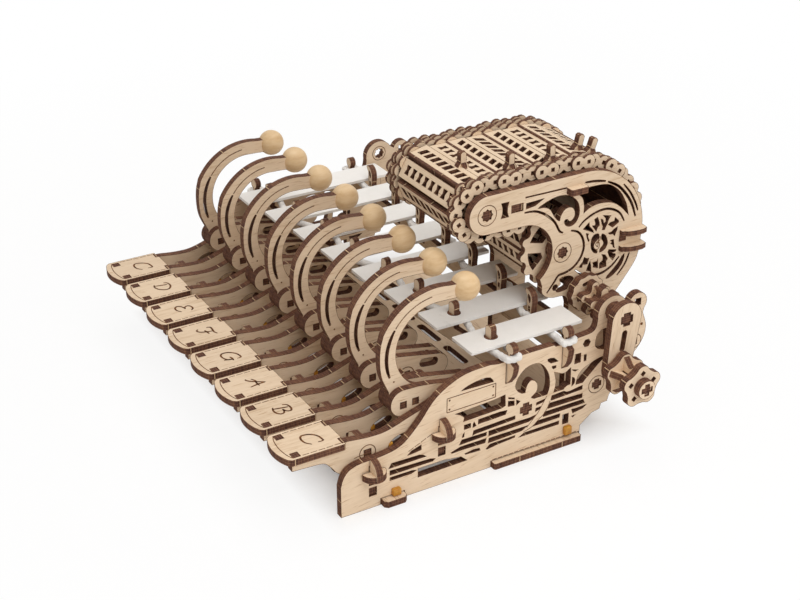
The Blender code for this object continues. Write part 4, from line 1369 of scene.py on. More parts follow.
    def build(self) -> None:
        """Build the rails, the cords and the bars."""
        pegs = [key_middle(index) for index in range(8)]
        hooks = [x + self.hook_offset for x in pegs[:-1]]
        peg = ([(2.1, self.rail_top), (2.1, 62.6)] + arc(0.0, 62.9, 2.1, 20, 160, 6)
               + [(-2.1, 62.6), (-2.1, self.rail_top)])
        hook = smooth([(2.4, 58.0), (2.9, 61.4), (2.3, 64.4), (0.3, 66.4), (-2.4, 66.9), (-3.4, 66.0),
                       (-2.6, 64.6), (-1.6, 63.4), (-1.5, 60.4)], 3)
        hook = [(2.2, self.rail_top)] + hook + [(-1.4, self.rail_top)]
        window = smooth([(0.4, 60.6), (1.3, 61.8), (1.0, 63.6), (-0.5, 64.6), (-0.7, 63.2)], 2, closed=True)
        lower = box(-0.2, 56.4, 1.1, 58.6)
        place = self.shop.place
        place(self.rail("cut_front_rail", self.front_rail, self.notch_floors[0], peg, pegs, []), "frame", "birch",
              "front_bar_rail")
        place(self.rail("cut_rear_rail", self.rear_rail, self.notch_floors[1], hook, hooks, [window, lower]),
              "frame", "birch", "rear_bar_rail")
        place(self.cord("soft_front_cord", self.front_rail, pegs), "frame", "cord", "front_bar_cord")
        place(self.cord("soft_rear_cord", self.rear_rail, hooks), "frame", "cord", "rear_bar_cord")
        for index, note in enumerate(NOTES):
            place(self.bar(index), "frame", "bar", "bar_" + note)
            place(self.washer(index), "frame", "birch")


@dataclass
class SideFrame:
    """Two pierced side panels joined by half-moon ties, on two base plates."""

    shop: Shop
    deck: BarDeck
    outer: float = 213.9
    inner: float = 210.3
    left_inner: float = 0.9
    left_outer: float = -2.7
    tab: float = 4.0
    tie_y: Pair = (11.2, 46.0)
    peg_z: Pair = (17.8, 26.9)
    moon: float = 6.2
    crank: Pair = (135.9, 63.4)
    lobe: Triple = (129.8, 25.8, 10.4)
    tower: Triple = (135.9, 62.4, 8.2)
    lug: Triple = (150.2, 63.2, 5.2)
    foot: tuple[Pair, Pair] = ((15.3, 26.7), (72.4, 120.6))
    axle_radius: float = 1.68
    base_end: float = 151.0

    def outline(self, front_y: float, rear_y: float) -> Loop:
        """Draw a panel.

        Args:
            front_y: Middle of its notch for the front rail.
            rear_y: Middle of its notch for the rear rail.

        Returns:
            The outline, from the front of the foot.
        """
        half = THIN_PLY / 2 + 0.3
        feet = []
        for low, high in self.foot:
            feet += [(low - 0.3, 0.0), (low - 0.3, 3.3), (high + 0.3, 3.3), (high + 0.3, 0.0)]
        heel = [(121.2, 0.0), (121.4, 6.6), (124.1, 8.6), (127.9, 11.4), (132.2, 12.2), (133.0, 15.0),
                (136.4, 15.2), (137.2, 18.0)]
        lobe = arc(*self.lobe, -38, 24, 8)
        back = smooth([(141.4, 33.0), (149.0, 36.4), (154.6, 43.0), (156.0, 50.0), (153.6, 57.4)], 5)
        lug = arc(*self.lug, -40, 160, 16)
        tower = arc(*self.tower, 30, 190, 20)
        shoulder = smooth([(127.7, 59.6), (127.0, 56.6), (125.0, 54.9), (121.0, 54.4)], 3)
        shoulder = [point for point in shoulder if point[0] > rear_y + half + 1.0]
        high, beside = 54.2, 53.3
        rear = [(rear_y + 6.5, high), (rear_y + 5.6, beside), (rear_y + half, beside), (rear_y + half, 40.9),
                (rear_y - half, 40.9), (rear_y - half, beside), (rear_y - 5.6, beside), (rear_y - 6.5, high)]
        if shoulder and rear_y + 6.5 > shoulder[-1][0]:
            rear = rear[1:] if rear_y + 5.6 < shoulder[-1][0] else rear[2:]
        front = [(front_y + 6.5, high), (front_y + 5.6, beside), (front_y + half, beside), (front_y + half, 42.0),
                 (front_y - half, 42.0), (front_y - half, beside), (front_y - 5.6, beside)]
        slope_end = min(70.4, front_y - 6.6)
        cheek = [(slope_end, 54.1), (min(62.7, slope_end - 5.0), 53.9), (min(57.2, slope_end - 8.5), 53.2),
                 (min(51.8, slope_end - 11.0), 51.4), (46.3, 48.5), (42.0, 45.2), (38.7, 41.4), (35.5, 37.0),
                 (31.1, 32.2), (26.8, 28.3), (22.4, 26.2), (15.9, 25.1), (9.4, 24.9), (4.0, 24.5), (-0.4, 22.9),
                 (-3.1, 19.7), (-4.5, 15.3)]
        return [(-4.5, 0.0)] + feet + heel + lobe + back + lug + tower + shoulder + rear + front + smooth(cheek, 3)

    def staff(self) -> list[Loop]:
        """Draw the five rows of slots that read as a music staff, and the slots of the foot."""
        return [
            [(64.9, 27.7), (76.3, 28.1), (80.0, 27.7), (79.2, 25.8), (66.1, 25.5), (64.8, 25.4)],
            box(57.5, 24.9, 60.8, 27.1),
            [(62.1, 26.3), (62.6, 27.2), (63.7, 24.9), (62.0, 24.5)],
            [(62.5, 22.7), (84.5, 23.4), (84.5, 21.7), (63.3, 20.8), (62.0, 20.4)],
            [(56.4, 19.8), (69.4, 19.6), (69.2, 18.0), (55.1, 17.6)],
            [(70.6, 19.8), (86.0, 19.9), (92.7, 19.8), (96.3, 20.4), (93.9, 18.5), (92.2, 17.9), (70.6, 17.4)],
            [(50.9, 15.0), (55.7, 16.4), (69.3, 16.4), (68.7, 14.3), (55.7, 14.6), (51.4, 14.4)],
            [(70.8, 16.0), (92.0, 16.0), (88.5, 14.2), (70.4, 13.6)],
            [(58.2, 12.0), (62.7, 12.7), (65.7, 12.4), (66.2, 11.2), (58.5, 11.5)],
            [(69.4, 10.9), (71.4, 12.6), (84.9, 12.8), (84.7, 11.9), (75.3, 11.2), (69.9, 10.4)],
            [(57.6, 23.2), (56.9, 22.6), (56.5, 21.1), (57.4, 21.1)],
            [(102.4, 22.0), (103.7, 24.2), (121.7, 23.7), (121.6, 21.5), (102.7, 21.6)],
            [(100.0, 18.4), (100.8, 20.3), (122.4, 20.3), (123.2, 18.3), (100.3, 18.0)],
            [(94.6, 14.9), (97.3, 16.8), (109.5, 16.6), (109.3, 14.8), (94.9, 14.6)],
            [(86.9, 11.1), (89.7, 12.6), (109.2, 12.8), (109.0, 11.1)],
            [(116.1, 16.9), (118.4, 16.7), (124.5, 17.0), (122.3, 15.5), (116.8, 14.7)],
            [(116.3, 13.2), (118.4, 13.4), (117.0, 12.4)],
            [(104.4, 27.8), (110.9, 28.2), (112.6, 27.2), (114.5, 27.2), (121.4, 28.1), (121.4, 26.1),
             (104.4, 25.5), (103.9, 25.8)],
            [(96.0, 26.7), (101.1, 27.4), (99.8, 26.0), (96.0, 25.4)],
            [(95.8, 23.8), (98.7, 23.9), (98.0, 22.8), (95.6, 22.2)],
            smooth([(28.5, 21.0), (30.5, 22.7), (35.4, 24.2), (35.4, 21.7), (31.0, 21.2)], 1),
            [(19.2, 17.4), (38.0, 17.4), (36.4, 18.6), (34.5, 19.3), (20.5, 19.6)],
            [(19.7, 13.8), (41.4, 13.8), (42.6, 14.7), (40.0, 15.4), (19.7, 16.0)],
            [(19.7, 11.0), (30.4, 11.0), (33.2, 11.8), (31.0, 12.4), (19.7, 12.5)],
            [(33.9, 7.9), (59.3, 8.2), (56.0, 11.1), (50.0, 11.8), (48.4, 12.3), (33.9, 12.3)],
        ]

    def clef(self) -> list[Loop]:
        """Draw the windows that shape the clef and the scrolls round it."""
        loop = smooth([(84.1, 39.2), (84.9, 41.9), (86.6, 44.3), (89.2, 46.6), (92.6, 47.5), (96.0, 47.2),
                       (98.9, 45.1), (101.5, 41.0), (102.6, 37.1), (102.7, 32.8), (101.7, 29.4)], 3)
        loop += smooth([(94.7, 29.4), (93.0, 30.4), (94.2, 31.4), (95.8, 32.8), (96.2, 34.9), (95.9, 37.0),
                        (94.3, 38.9), (92.4, 39.5), (90.6, 38.1), (89.8, 35.9), (89.5, 34.0)], 3)
        loop += [(87.7, 34.2), (85.7, 35.7), (84.4, 37.6)]
        right = [(105.1, 39.9)] + smooth([(106.8, 39.2), (109.4, 37.9), (111.6, 38.0), (113.1, 39.0),
                                          (114.2, 39.6)], 3)
        right += [(114.4, 32.3), (114.3, 30.9), (113.0, 30.9), (111.2, 30.0), (110.8, 29.3), (105.3, 29.4)]
        right += smooth([(106.0, 31.9), (106.2, 35.4), (105.4, 38.7)], 3)
        crescent = smooth([(117.6, 29.8), (118.3, 33.3), (119.8, 35.6), (122.2, 37.4), (125.2, 38.5),
                           (129.0, 39.9), (134.6, 40.6)], 3)
        crescent += smooth([(129.5, 37.0), (125.4, 33.2), (123.3, 31.5), (121.5, 29.6)], 3)
        return [
            loop, right, crescent,
            [(101.1, 47.7), (102.5, 47.9), (104.6, 47.4), (106.8, 45.2), (103.0, 45.3), (101.3, 46.7)],
            [(103.7, 43.4), (105.8, 43.2), (105.8, 42.1), (104.6, 41.9), (103.8, 42.5)],
            [(115.4, 34.2), (116.4, 33.7), (117.0, 32.2), (116.6, 30.5), (115.4, 29.6)],
            [(115.1, 38.3), (118.5, 37.3), (116.8, 37.0), (115.5, 37.8)],
            [(80.5, 32.3), (83.7, 31.5), (83.8, 29.2), (80.5, 29.6)],
            [(80.6, 34.2), (83.8, 33.0), (83.7, 32.5), (80.6, 33.6)],
            [(84.9, 31.6), (86.9, 30.3), (85.1, 28.9)],
        ]

    def windows(self, front_y: float, rear_y: float) -> list[Loop]:
        """List the holes of a panel, leaving out those that a rail notch would cut.

        Args:
            front_y: Middle of its notch for the front rail.
            rear_y: Middle of its notch for the rear rail.

        Returns:
            The holes.
        """
        holes = self.staff() + self.clef()
        holes += [
            smooth([(55.4, 45.3), (59.4, 47.0), (65.9, 48.1), (70.4, 47.5), (72.2, 45.0)], 2),
            [(52.6, 34.4), (73.6, 35.4), (78.7, 36.2), (79.0, 30.5), (76.8, 29.8), (57.0, 29.2), (57.5, 31.2),
             (55.3, 33.2)],
            circle(122.4, 50.1, 2.0, 6), box(116.2, 41.0, 119.4, 45.8),
            box(121.4, 41.0, 122.6, 44.2), box(111.2, 10.4, 114.4, 15.4),
            smooth([(127.4, 47.0), (130.6, 44.6), (134.6, 44.2), (134.2, 50.0), (133.8, 54.4), (130.6, 54.6),
                    (128.0, 52.4)], 2, closed=True),
            cross(129.6, 26.4, 2.5, 2.5), box(148.5, 62.0, 151.9, 65.4),
            star(self.crank[0], self.crank[1], 2.9, 2.35, 8),
            cross(90.3, 25.2, 3.1, 3.1), box(149.0, 41.4, 151.4, 44.8),
        ]
        for middle, peg in zip(self.tie_y, self.peg_z):
            half = THIN_PLY / 2 + 0.3
            holes.append(box(middle - half, peg - 5.9, middle + half, peg + 4.0))
            holes.append(box(middle - half, peg - 11.6, middle + half, peg - 7.4))
        kept = []
        for hole in holes:
            low, high = bounds_of(hole)
            deep = max(z for _, z in hole) < 40.0
            if deep or all(high < notch - 3.5 or low > notch + 3.5 for notch in (front_y, rear_y)):
                kept.append(hole)
        return kept

    def panel(self, name: str, outer: float, inner: float) -> Piece:
        """Cut one side panel.

        Args:
            name: Name of the piece.
            outer: X of its outer face.
            inner: X of its inner face.

        Returns:
            The panel.
        """
        work = Workpiece()
        middle = (outer + inner) / 2
        side = 1 if outer > inner else -1
        rails = [self.deck.rail_y(rail, middle) for rail in (self.deck.front_rail, self.deck.rear_rail)]
        work.plate([self.outline(*rails)] + self.windows(*rails), PLY, Plane.X, middle, grain=8.0)
        line = work.engrave
        ribbon = (smooth([(103.5, 25.3), (102.2, 22.0), (100.2, 19.2), (97.4, 17.2), (94.2, 14.6), (89.6, 13.2)], 3),
                  smooth([(101.6, 28.6), (99.2, 24.6), (96.9, 21.0), (93.9, 17.9), (91.2, 15.0)], 3))
        for face in (-1, 1):
            level = middle + face * PLY / 2
            work.ring_line(self.lobe[0] - 0.3, self.lobe[1] + 0.4, 4.4, 0.4, Plane.X, level, face)
            work.ring_line(*self.crank, 4.0, 0.4, Plane.X, level, face)
            work.ring_line(150.2, 43.1, 3.6, 0.4, Plane.X, level, face)
            for run in ribbon:
                line(run, 0.35, Plane.X, level, face)
            line([(73.0, 3.8), (119.4, 3.8)], 0.35, Plane.X, level, face, dash=2.4)
            line([(29.0, 22.9), (42.0, 28.6)], 0.35, Plane.X, level, face, dash=2.8)
            for u, v in ((153.4, 51.4), (146.6, 38.9), (143.0, 33.5)):
                work.patch(circle(u, v, 0.8, 8), Plane.X, level, face)
        for plug in (cross(90.3, 25.2, 2.9, 2.9), cross(129.6, 26.4, 2.3, 2.3)):
            work.plate([plug], PLY - 0.9, Plane.X, middle, **END_GRAIN)
        backing = smooth([(126.4, 46.0), (130.6, 43.0), (135.8, 42.8), (136.0, 50.0), (135.0, 55.6), (130.4, 56.0),
                          (126.8, 53.4)], 3, closed=True)
        work.plate([backing], 1.2, Plane.X, middle - side * (PLY / 2 + 0.62))
        if side > 0:
            self.blank_plate(work, middle + PLY / 2)
        return self.shop.cut(work, name, (middle, 0.0, 0.0))

    def blank_plate(self, work: Workpiece, level: float) -> None:
        """Engrave the border and the four corner dots of the bare name plate.

        Args:
            work: The panel.
            level: X of its outer face.
        """
        corners = [(48.3, 43.5), (73.5, 43.8), (73.5, 36.7), (48.3, 36.4), (48.3, 43.5)]
        for a, b in zip(corners, corners[1:]):
            work.engrave([a, b], 0.42, Plane.X, level, 1)
        for u, v in ((49.6, 42.3), (72.2, 42.5), (72.2, 38.0), (49.6, 37.7)):
            work.patch(circle(u, v, 0.5, 10), Plane.X, level, 1)

    def tie_front(self, peg: float, bottom: float) -> Loop:
        """Draw the front view of a tie.

        Args:
            peg: Height of its half-moon pegs.
            bottom: Height of its lower edge.

        Returns:
            The outline.
        """
        right_in, left_in = self.inner - 0.3, self.left_inner + 0.3
        start = self.outer + 0.3
        moon = [(start + 5.6, peg - 1.4)] + arc(start, peg + 1.4, self.moon + 0.2, -12, 90, 16)
        tab_end = self.outer - 0.6
        right = ([(right_in, bottom), (right_in, peg - 11.3), (tab_end, peg - 11.1), (tab_end, peg - 7.9),
                  (right_in, peg - 7.7), (right_in, peg - 5.5), (start, peg - 5.5), (start, peg - 1.4)] + moon
                 + [(start, peg + 3.6), (right_in + 0.6, peg + 3.6), (right_in + 0.6, peg - 2.0),
                    (right_in, peg - 2.4)])
        left = [(right_in + left_in - u, v) for u, v in reversed(right)]
        return right + left

    def tie(self, name: str, which: int, bottom: float, finger_top: float, pivot: Pair) -> Piece:
        """Assemble a cross tie with its fingers and half-moons.

        Args:
            name: Name of the piece.
            which: 0 for the front tie, 1 for the middle one.
            bottom: Height of its lower edge.
            finger_top: Height of its fingers.
            pivot: Y and Z of the axle that the fingers hold.

        Returns:
            The tie.
        """
        work = Workpiece()
        middle, peg = self.tie_y[which], self.peg_z[which]
        holes = []
        low_z, high_z = bottom + 1.6, peg - 4.4
        if high_z - low_z > 3.0:
            for index in range(8):
                x = key_middle(index)
                holes.append(slot((x - 6.0, (low_z + high_z) / 2), (x + 6.0, (low_z + high_z) / 2),
                                  min(high_z - low_z, 4.6), 5))
        work.plate([self.tie_front(peg, bottom)] + holes, THIN_PLY, Plane.Y, middle)
        for index in range(1, len(NOTES)):
            x = KEY_PITCH * index - 2.4
            low, high = min(middle, pivot[0]) - 5.0, max(middle, pivot[0]) + 5.0
            finger = ([(low, bottom + 1.0), (high, bottom + 1.0)]
                      + arc(high - 3.0, finger_top - 3.0, 3.0, 0, 90, 5)
                      + arc(low + 3.0, finger_top - 3.0, 3.0, 90, 180, 5))
            work.plate([finger, square_hole(*pivot, 1.9)], THIN_PLY, Plane.X, x)
        for face, first in ((self.outer + 0.6, -90), (self.left_outer - 0.6, 90)):
            moon = arc(face, middle, self.moon - 0.5, first, first + 180, 20)
            work.plate([moon], THIN_PLY, Plane.Z, peg)
        return self.shop.cut(work, name, (0.0, middle, peg))

    def axle(self, name: str, pivot: Pair) -> Piece:
        """Turn an axle that the square holes of its levers swing round.

        Args:
            name: Name of the piece.
            pivot: Its Y and Z.

        Returns:
            The axle.
        """
        work = Workpiece()
        low, high = key_middle(0) - 9.4, key_middle(7) + 9.4
        work.plate([circle(*pivot, self.axle_radius, 16)], high - low, Plane.X, (low + high) / 2, **END_GRAIN)
        return self.shop.cut(work, name, (0.0, *pivot))

    def bases(self) -> list[Piece]:
        """Cut the two base plates.

        Returns:
            The front plate and the rear plate.
        """
        right, left = self.outer + self.tab, self.left_outer - self.tab
        (front_low, front_high), (low, high) = self.foot
        work = Workpiece()
        chamfer = 1.4
        front = [(left + chamfer, front_low), (right - chamfer, front_low), (right, front_low + chamfer),
                 (right, front_high - chamfer), (right - chamfer, front_high), (left + chamfer, front_high),
                 (left, front_high - chamfer), (left, front_low + chamfer)]
        work.plate([front], THIN_PLY, Plane.Z, THIN_PLY / 2)
        front_piece = self.shop.cut(work, "cut_front_base", (0.0, 0.0, 0.0))
        work = Workpiece()
        right, left, chamfer = right - 1.0, left + 1.0, 0.7
        in_left, in_right = self.left_inner + 18.8, self.inner - 18.8
        rear = [(left + chamfer, low), (right - chamfer, low), (right, low + chamfer), (right, high - chamfer),
                (right - chamfer, high), (in_right, high), (in_right, self.base_end), (in_left, self.base_end),
                (in_left, high), (left + chamfer, high), (left, high - chamfer), (left, low + chamfer)]
        holes = [box(x - 2.1, 131.7, x + 2.1, 146.3) for x in (186.8, 124.4)]
        for row in (82.0, 96.0, 110.0):
            holes += [slot((x - 8.0, row), (x + 8.0, row), 4.0, 6) for x in range(20, 200, 26)]
        work.plate([rear] + holes, THIN_PLY, Plane.Z, THIN_PLY / 2)
        rear_piece = self.shop.cut(work, "cut_rear_base", (0.0, 0.0, 0.0))
        return [front_piece, rear_piece]

    def bands(self) -> Piece:
        """Mould the amber band ends that peep out above the base plates."""
        work = Workpiece()
        for x in (self.outer + 0.9, self.left_outer - 0.9):
            work.pebble(Vector((x, 113.6, 7.0)), (1.1, 2.0, 2.2), 0.28)
            work.pebble(Vector((x, 22.4, 5.0)), (1.2, 2.1, 1.7), 0.28)
        return work.finish("amber_bands", self.shop.datum, (0.0, 0.0, 0.0), [self.shop.finishes.rubber])

    def build(self) -> None:
        """Build the frame."""
        place = self.shop.place
        place(self.panel("pierced_right_panel", self.outer, self.inner), "frame", "birch", "right_panel")
        place(self.panel("pierced_left_panel", self.left_outer, self.left_inner), "frame", "birch", "left_panel")
        place(self.tie("cut_front_tie", 0, 4.0, 30.6, (11.1, 25.9)), "frame", "birch", "front_tie")
        place(self.tie("cut_middle_tie", 1, 11.0, 43.0, (48.8, 37.4)), "frame", "birch", "middle_tie")
        place(self.axle("key_axle_rod", (11.1, 25.9)), "frame", "birch_dark", "key_axle")
        place(self.axle("hammer_axle_rod", (48.8, 37.4)), "frame", "birch_dark", "hammer_axle")
        for piece, node in zip(self.bases(), ("front_base", "rear_base")):
            place(piece, "frame", "birch", node)
        place(self.bands(), "frame", "birch")


@dataclass
class Cassette:
    """Two scrolled plates that carry a slatted programme belt on a roller and a drum."""

    shop: Shop
    outer: float = 188.6
    width: float = 66.0
    roller: Pair = (83.4, 112.2)
    drum: Pair = (125.1, 84.1)
    crank: Pair = (135.9, 63.4)
    nose: float = 9.3
    back: Triple = (136.1, 87.2, 34.3)
    arch: Triple = (103.1, 86.2, 16.2)
    belt_back: Triple = (134.5, 88.2, 36.0)
    belt_roller: float = 12.0
    belt_drum: float = 14.0
    gear_side: float = 179.2
    wheel: Pair = (145.1, 83.7)
    slat_pitch: float = 9.75
    pins: tuple[Triple, ...] = (
        (164.0, 85.5, 0.0), (176.0, 103.0, 0.0), (177.4, 124.0, 0.0), (171.5, 134.5, 12.8), (175.2, 134.5, 19.4))

    def outline(self) -> Loop:
        """Draw a cassette plate."""
        nose = arc(*self.roller, self.nose, 90, 270, 22)
        arch = arc(*self.arch, 88, -52, 22)
        knee = smooth([(114.4, 69.4), (114.6, 66.0), (117.0, 63.4), (121.0, 62.0), (126.0, 61.6), (128.6, 60.0),
                       (130.0, 56.0)], 3)
        leg = [(130.0, 4.0), (132.0, 3.3), (132.0, 0.6), (146.0, 0.6), (146.0, 3.3), (148.0, 4.0), (149.6, 40.0)]
        back = smooth([(150.4, 46.0), (154.0, 52.0), (163.0, 63.0), (168.0, 70.0), (169.8, 76.0)], 4)
        return nose + arch + knee + leg + back + arc(*self.back, -8, 90, 26)

    def scrolls(self) -> list[Loop]:
        """Draw the open scroll windows of a plate."""
        scroll = smooth([(110.4, 109.6), (115.7, 111.8), (120.0, 112.8), (125.0, 112.6), (129.5, 110.4),
                         (132.6, 106.6), (133.3, 101.6), (131.6, 97.8), (128.6, 96.5), (126.0, 97.6),
                         (125.2, 99.8), (126.6, 100.4), (128.2, 98.9), (130.2, 100.0), (130.9, 102.4),
                         (129.8, 105.2), (127.2, 106.2), (124.6, 105.2), (122.9, 102.6), (122.3, 100.6),
                         (119.6, 103.2), (117.0, 107.4), (113.6, 109.2)], 3, closed=True)
        sail = smooth([(131.6, 111.8), (134.6, 109.2), (135.8, 105.1), (135.8, 101.3)], 3)
        sail += smooth([(138.6, 103.1), (142.9, 104.1), (147.9, 103.9), (152.6, 102.6), (157.4, 99.2),
                        (161.8, 94.4)], 3)
        sail += smooth([(160.2, 100.1), (157.1, 105.9), (153.2, 110.0), (148.4, 112.7), (141.4, 113.5),
                        (136.0, 113.4)], 3)
        low = smooth([(124.3, 70.9), (129.3, 71.2), (132.1, 69.1), (129.6, 66.6), (128.4, 64.6), (123.6, 64.2),
                      (122.4, 66.0), (125.0, 68.0)], 3, closed=True)
        lens = stroke(smooth([(160.9, 74.6), (158.6, 70.0), (154.8, 66.4), (151.2, 64.2)], 3), 2.6, 0.9)
        triangle = [(103.9, 113.3), (113.6, 113.7), (108.6, 111.2), (103.9, 110.7)]
        waist = [(90.7, 109.1), (94.6, 109.1), (93.9, 111.4), (93.9, 113.9), (94.6, 116.2), (90.7, 116.2),
                 (91.4, 113.9), (91.4, 111.4)]
        return [scroll, sail, low, lens, triangle, waist]

    def wheel_cuts(self) -> list[Loop]:
        """Draw the note-shaped windows of the clef wheel and the two halves of its open hub."""
        return [
            [(139.2, 95.8), (136.1, 93.2), (139.4, 91.6), (142.2, 90.0), (141.6, 91.4), (139.5, 93.9)],
            [(143.9, 97.4), (142.2, 96.6), (142.9, 94.6), (142.7, 93.4), (141.1, 93.7), (142.5, 91.9), (143.6, 90.4),
             (144.2, 92.3), (145.2, 93.0), (145.1, 94.3)],
            [(145.9, 95.9), (146.5, 93.5), (147.3, 92.1), (147.0, 90.3), (148.3, 90.0), (149.7, 92.8), (150.2, 94.5),
             (151.5, 96.4), (146.9, 97.6), (148.6, 95.9), (148.8, 94.0), (147.7, 93.3), (147.0, 95.5)],
            [(154.1, 94.8), (153.8, 93.1), (151.2, 92.9), (150.4, 92.1), (151.9, 91.0), (152.9, 90.2), (156.3, 91.9),
             (156.2, 92.8)],
            [(155.8, 89.8), (153.8, 88.9), (152.5, 87.9), (150.7, 87.7), (151.7, 86.9), (153.4, 86.7), (154.6, 85.5),
             (154.9, 86.9), (155.7, 88.3)],
            [(152.2, 83.7), (154.0, 83.7), (154.6, 80.2), (155.1, 79.2), (154.0, 79.8), (153.7, 81.1), (152.4, 82.0),
             (153.4, 82.6)],
            [(151.6, 79.0), (155.9, 78.0), (155.7, 77.2), (153.4, 76.8), (155.5, 76.0), (155.9, 75.1), (154.3, 73.0),
             (152.2, 75.5), (151.2, 77.9)],
            [(147.7, 77.5), (149.8, 76.8), (151.3, 74.3), (150.4, 73.5), (150.7, 70.7), (146.8, 70.5), (146.7, 73.2),
             (148.5, 74.3), (148.5, 76.0)],
            [(145.5, 76.1), (145.3, 74.6), (142.7, 74.5), (143.2, 73.5), (143.0, 72.2), (145.8, 71.1)],
            [(141.1, 75.9), (139.8, 73.0), (139.4, 71.3), (142.1, 70.1), (141.7, 73.3)],
            [(137.6, 78.5), (139.2, 77.5), (140.4, 77.4), (139.5, 74.6), (136.9, 75.1), (136.6, 73.6), (135.1, 74.0),
             (135.4, 74.8), (137.0, 76.4)],
            [(137.9, 90.6), (139.3, 90.0), (138.8, 89.0), (139.9, 86.6), (139.5, 86.1), (138.5, 88.2)],
            smooth([(141.0, 85.0), (141.6, 87.8), (143.3, 88.9), (145.2, 88.6), (145.3, 86.4), (143.4, 84.9),
                    (142.6, 83.0), (143.4, 81.4), (144.7, 80.6), (144.8, 79.0), (142.9, 79.8), (141.4, 82.0)], 2,
                   closed=True),
            smooth([(147.2, 88.2), (149.3, 86.7), (150.6, 83.2), (150.0, 80.9), (148.6, 79.6), (146.4, 79.0),
                    (146.5, 80.8), (148.0, 82.2), (148.2, 84.0), (147.1, 85.4), (146.8, 86.8)], 2, closed=True),
        ]

    def grooves(self) -> list[tuple[Loop, float]]:
        """List the narrow cut lines that follow the scrolls, each with its width."""
        return [
            ([(103.4, 116.3), (125.4, 116.0)], 0.9),
            (smooth([(103.2, 109.0), (108.0, 108.6), (112.1, 107.0), (116.4, 104.0), (120.0, 100.3), (122.6, 95.6),
                     (124.6, 94.2)], 3), 0.9),
            (smooth([(135.7, 116.4), (141.6, 115.8), (147.1, 114.6)], 3), 0.9),
            (smooth([(148.6, 113.9), (154.7, 110.5), (159.8, 105.0), (163.4, 99.4), (165.8, 93.0)], 3), 1.1),
            (smooth([(157.8, 110.6), (162.0, 105.6), (165.4, 99.6), (167.0, 95.6)], 3), 0.8),
            (smooth([(133.6, 94.9), (136.4, 97.4), (141.4, 99.7), (147.1, 100.6), (152.1, 99.5), (156.6, 96.6),
                     (159.4, 92.0)], 3), 0.9),
            (smooth([(129.3, 94.1), (132.9, 92.7), (135.7, 89.4), (137.0, 84.4), (135.7, 79.4), (132.1, 75.3),
                     (127.6, 73.4), (123.4, 72.8), (121.2, 70.0), (117.4, 65.4)], 3), 1.0),
            (smooth([(132.9, 73.3), (137.1, 69.8), (142.9, 67.9), (148.6, 67.9), (153.8, 70.1), (157.9, 73.9)], 3),
             1.0),
            (smooth([(163.9, 74.4), (161.6, 69.0), (157.6, 64.4)], 3), 0.8),
        ]

    def plate(self, name: str, low: float) -> Piece:
        """Cut one cassette plate.

        Args:
            name: Name of the piece.
            low: X of its left face.

        Returns:
            The plate.
        """
        work = Workpiece()
        middle = low + PLY / 2
        holes = self.scrolls() + self.wheel_cuts()
        holes += [stroke(line, width, 0.5) for line, width in self.grooves()]
        for u, v in (self.roller, self.drum):
            holes.append(star(u, v, 2.9, 2.3, 8))
        holes += [star(*self.crank, 2.8, 2.5, 10), circle(121.9, 67.0, 1.5, 10), box(96.1, 110.4, 102.2, 114.0)]
        work.plate([self.outline()] + holes, PLY, Plane.X, middle, grain=4.0)
        for side in (-1, 1):
            level = middle + side * PLY / 2
            for u, v in (self.roller, self.drum):
                work.ring_line(u, v, 4.8, 0.4, Plane.X, level, side)
            for run in ([(144.2, 80.6), (145.6, 81.4), (146.0, 83.6), (144.6, 84.8), (143.8, 83.4), (145.0, 82.0)],
                        [(145.0, 82.0), (145.4, 86.4), (146.2, 87.0), (146.0, 85.4), (144.4, 84.0)]):
                work.engrave(smooth(run, 3), 0.4, Plane.X, level, side)
        return self.shop.cut(work, name, (middle, 0.0, 0.0))

    def ties(self) -> Piece:
        """Cut the cross plates between the two plates, with their clips on the right face."""
        work = Workpiece()
        low, high = self.outer - self.width + PLY, self.outer - PLY
        face = self.outer
        work.plate([box(low - PLY + 0.35, 96.4, face - 0.35, 101.9)], THIN_PLY, Plane.Z, 112.2)
        prongs = [(low, 155.0), (high, 155.0), (high, 157.2), (face + 0.4, 157.2), (face + 0.4, 161.0),
                  (high, 161.0), (high, 163.4), (low, 163.4)]
        work.plate([prongs], THIN_PLY, Plane.Z, 83.4)
        for centre in (86.4, 78.4):
            reach = [(high + 0.6, 157.4), (face + 1.8, 157.4), (face + 2.2, 158.6), (face + 3.4, 160.2),
                     (face + 4.4, 164.8), (face + 3.6, 170.4), (high + 1.2, 170.4)]
            work.plate([smooth(reach, 2)], 2.4, Plane.Z, centre)
        cap = [(high + 0.4, 125.6), (face + 3.4, 125.6), (face + 4.0, 126.4), (face + 4.0, 134.2),
               (face + 3.4, 135.0), (high + 0.4, 135.0)]
        work.plate([cap], THIN_PLY, Plane.Z, 114.6)
        work.plate([box(low, 20.0, high, 40.0)] + [slot((x - 4.0, 30.0), (x + 4.0, 30.0), 5.0, 6)
                                                  for x in (138.0, 155.0, 172.0)], THIN_PLY, Plane.Y, 137.5)
        return self.shop.cut(work, "cassette_ties", (155.6, 137.5, 60.0))

    def path(self, offset: float) -> Loop:
        """Draw the belt loop at some distance outside its middle line."""
        roller = arc(*self.roller, self.belt_roller + offset, 270, 90, 22)
        back = arc(self.belt_back[0], self.belt_back[1], self.belt_back[2] + offset, 90, -20, 44)
        corner = arc(163.0, 76.0, 5.8 + offset, -28, -90, 8)
        drum = arc(*self.drum, self.belt_drum + offset, -90, -180, 14)
        elbow = arc(103.6, 92.6, 7.6 - offset, 8, 90, 8)
        return roller + back + corner + drum + elbow

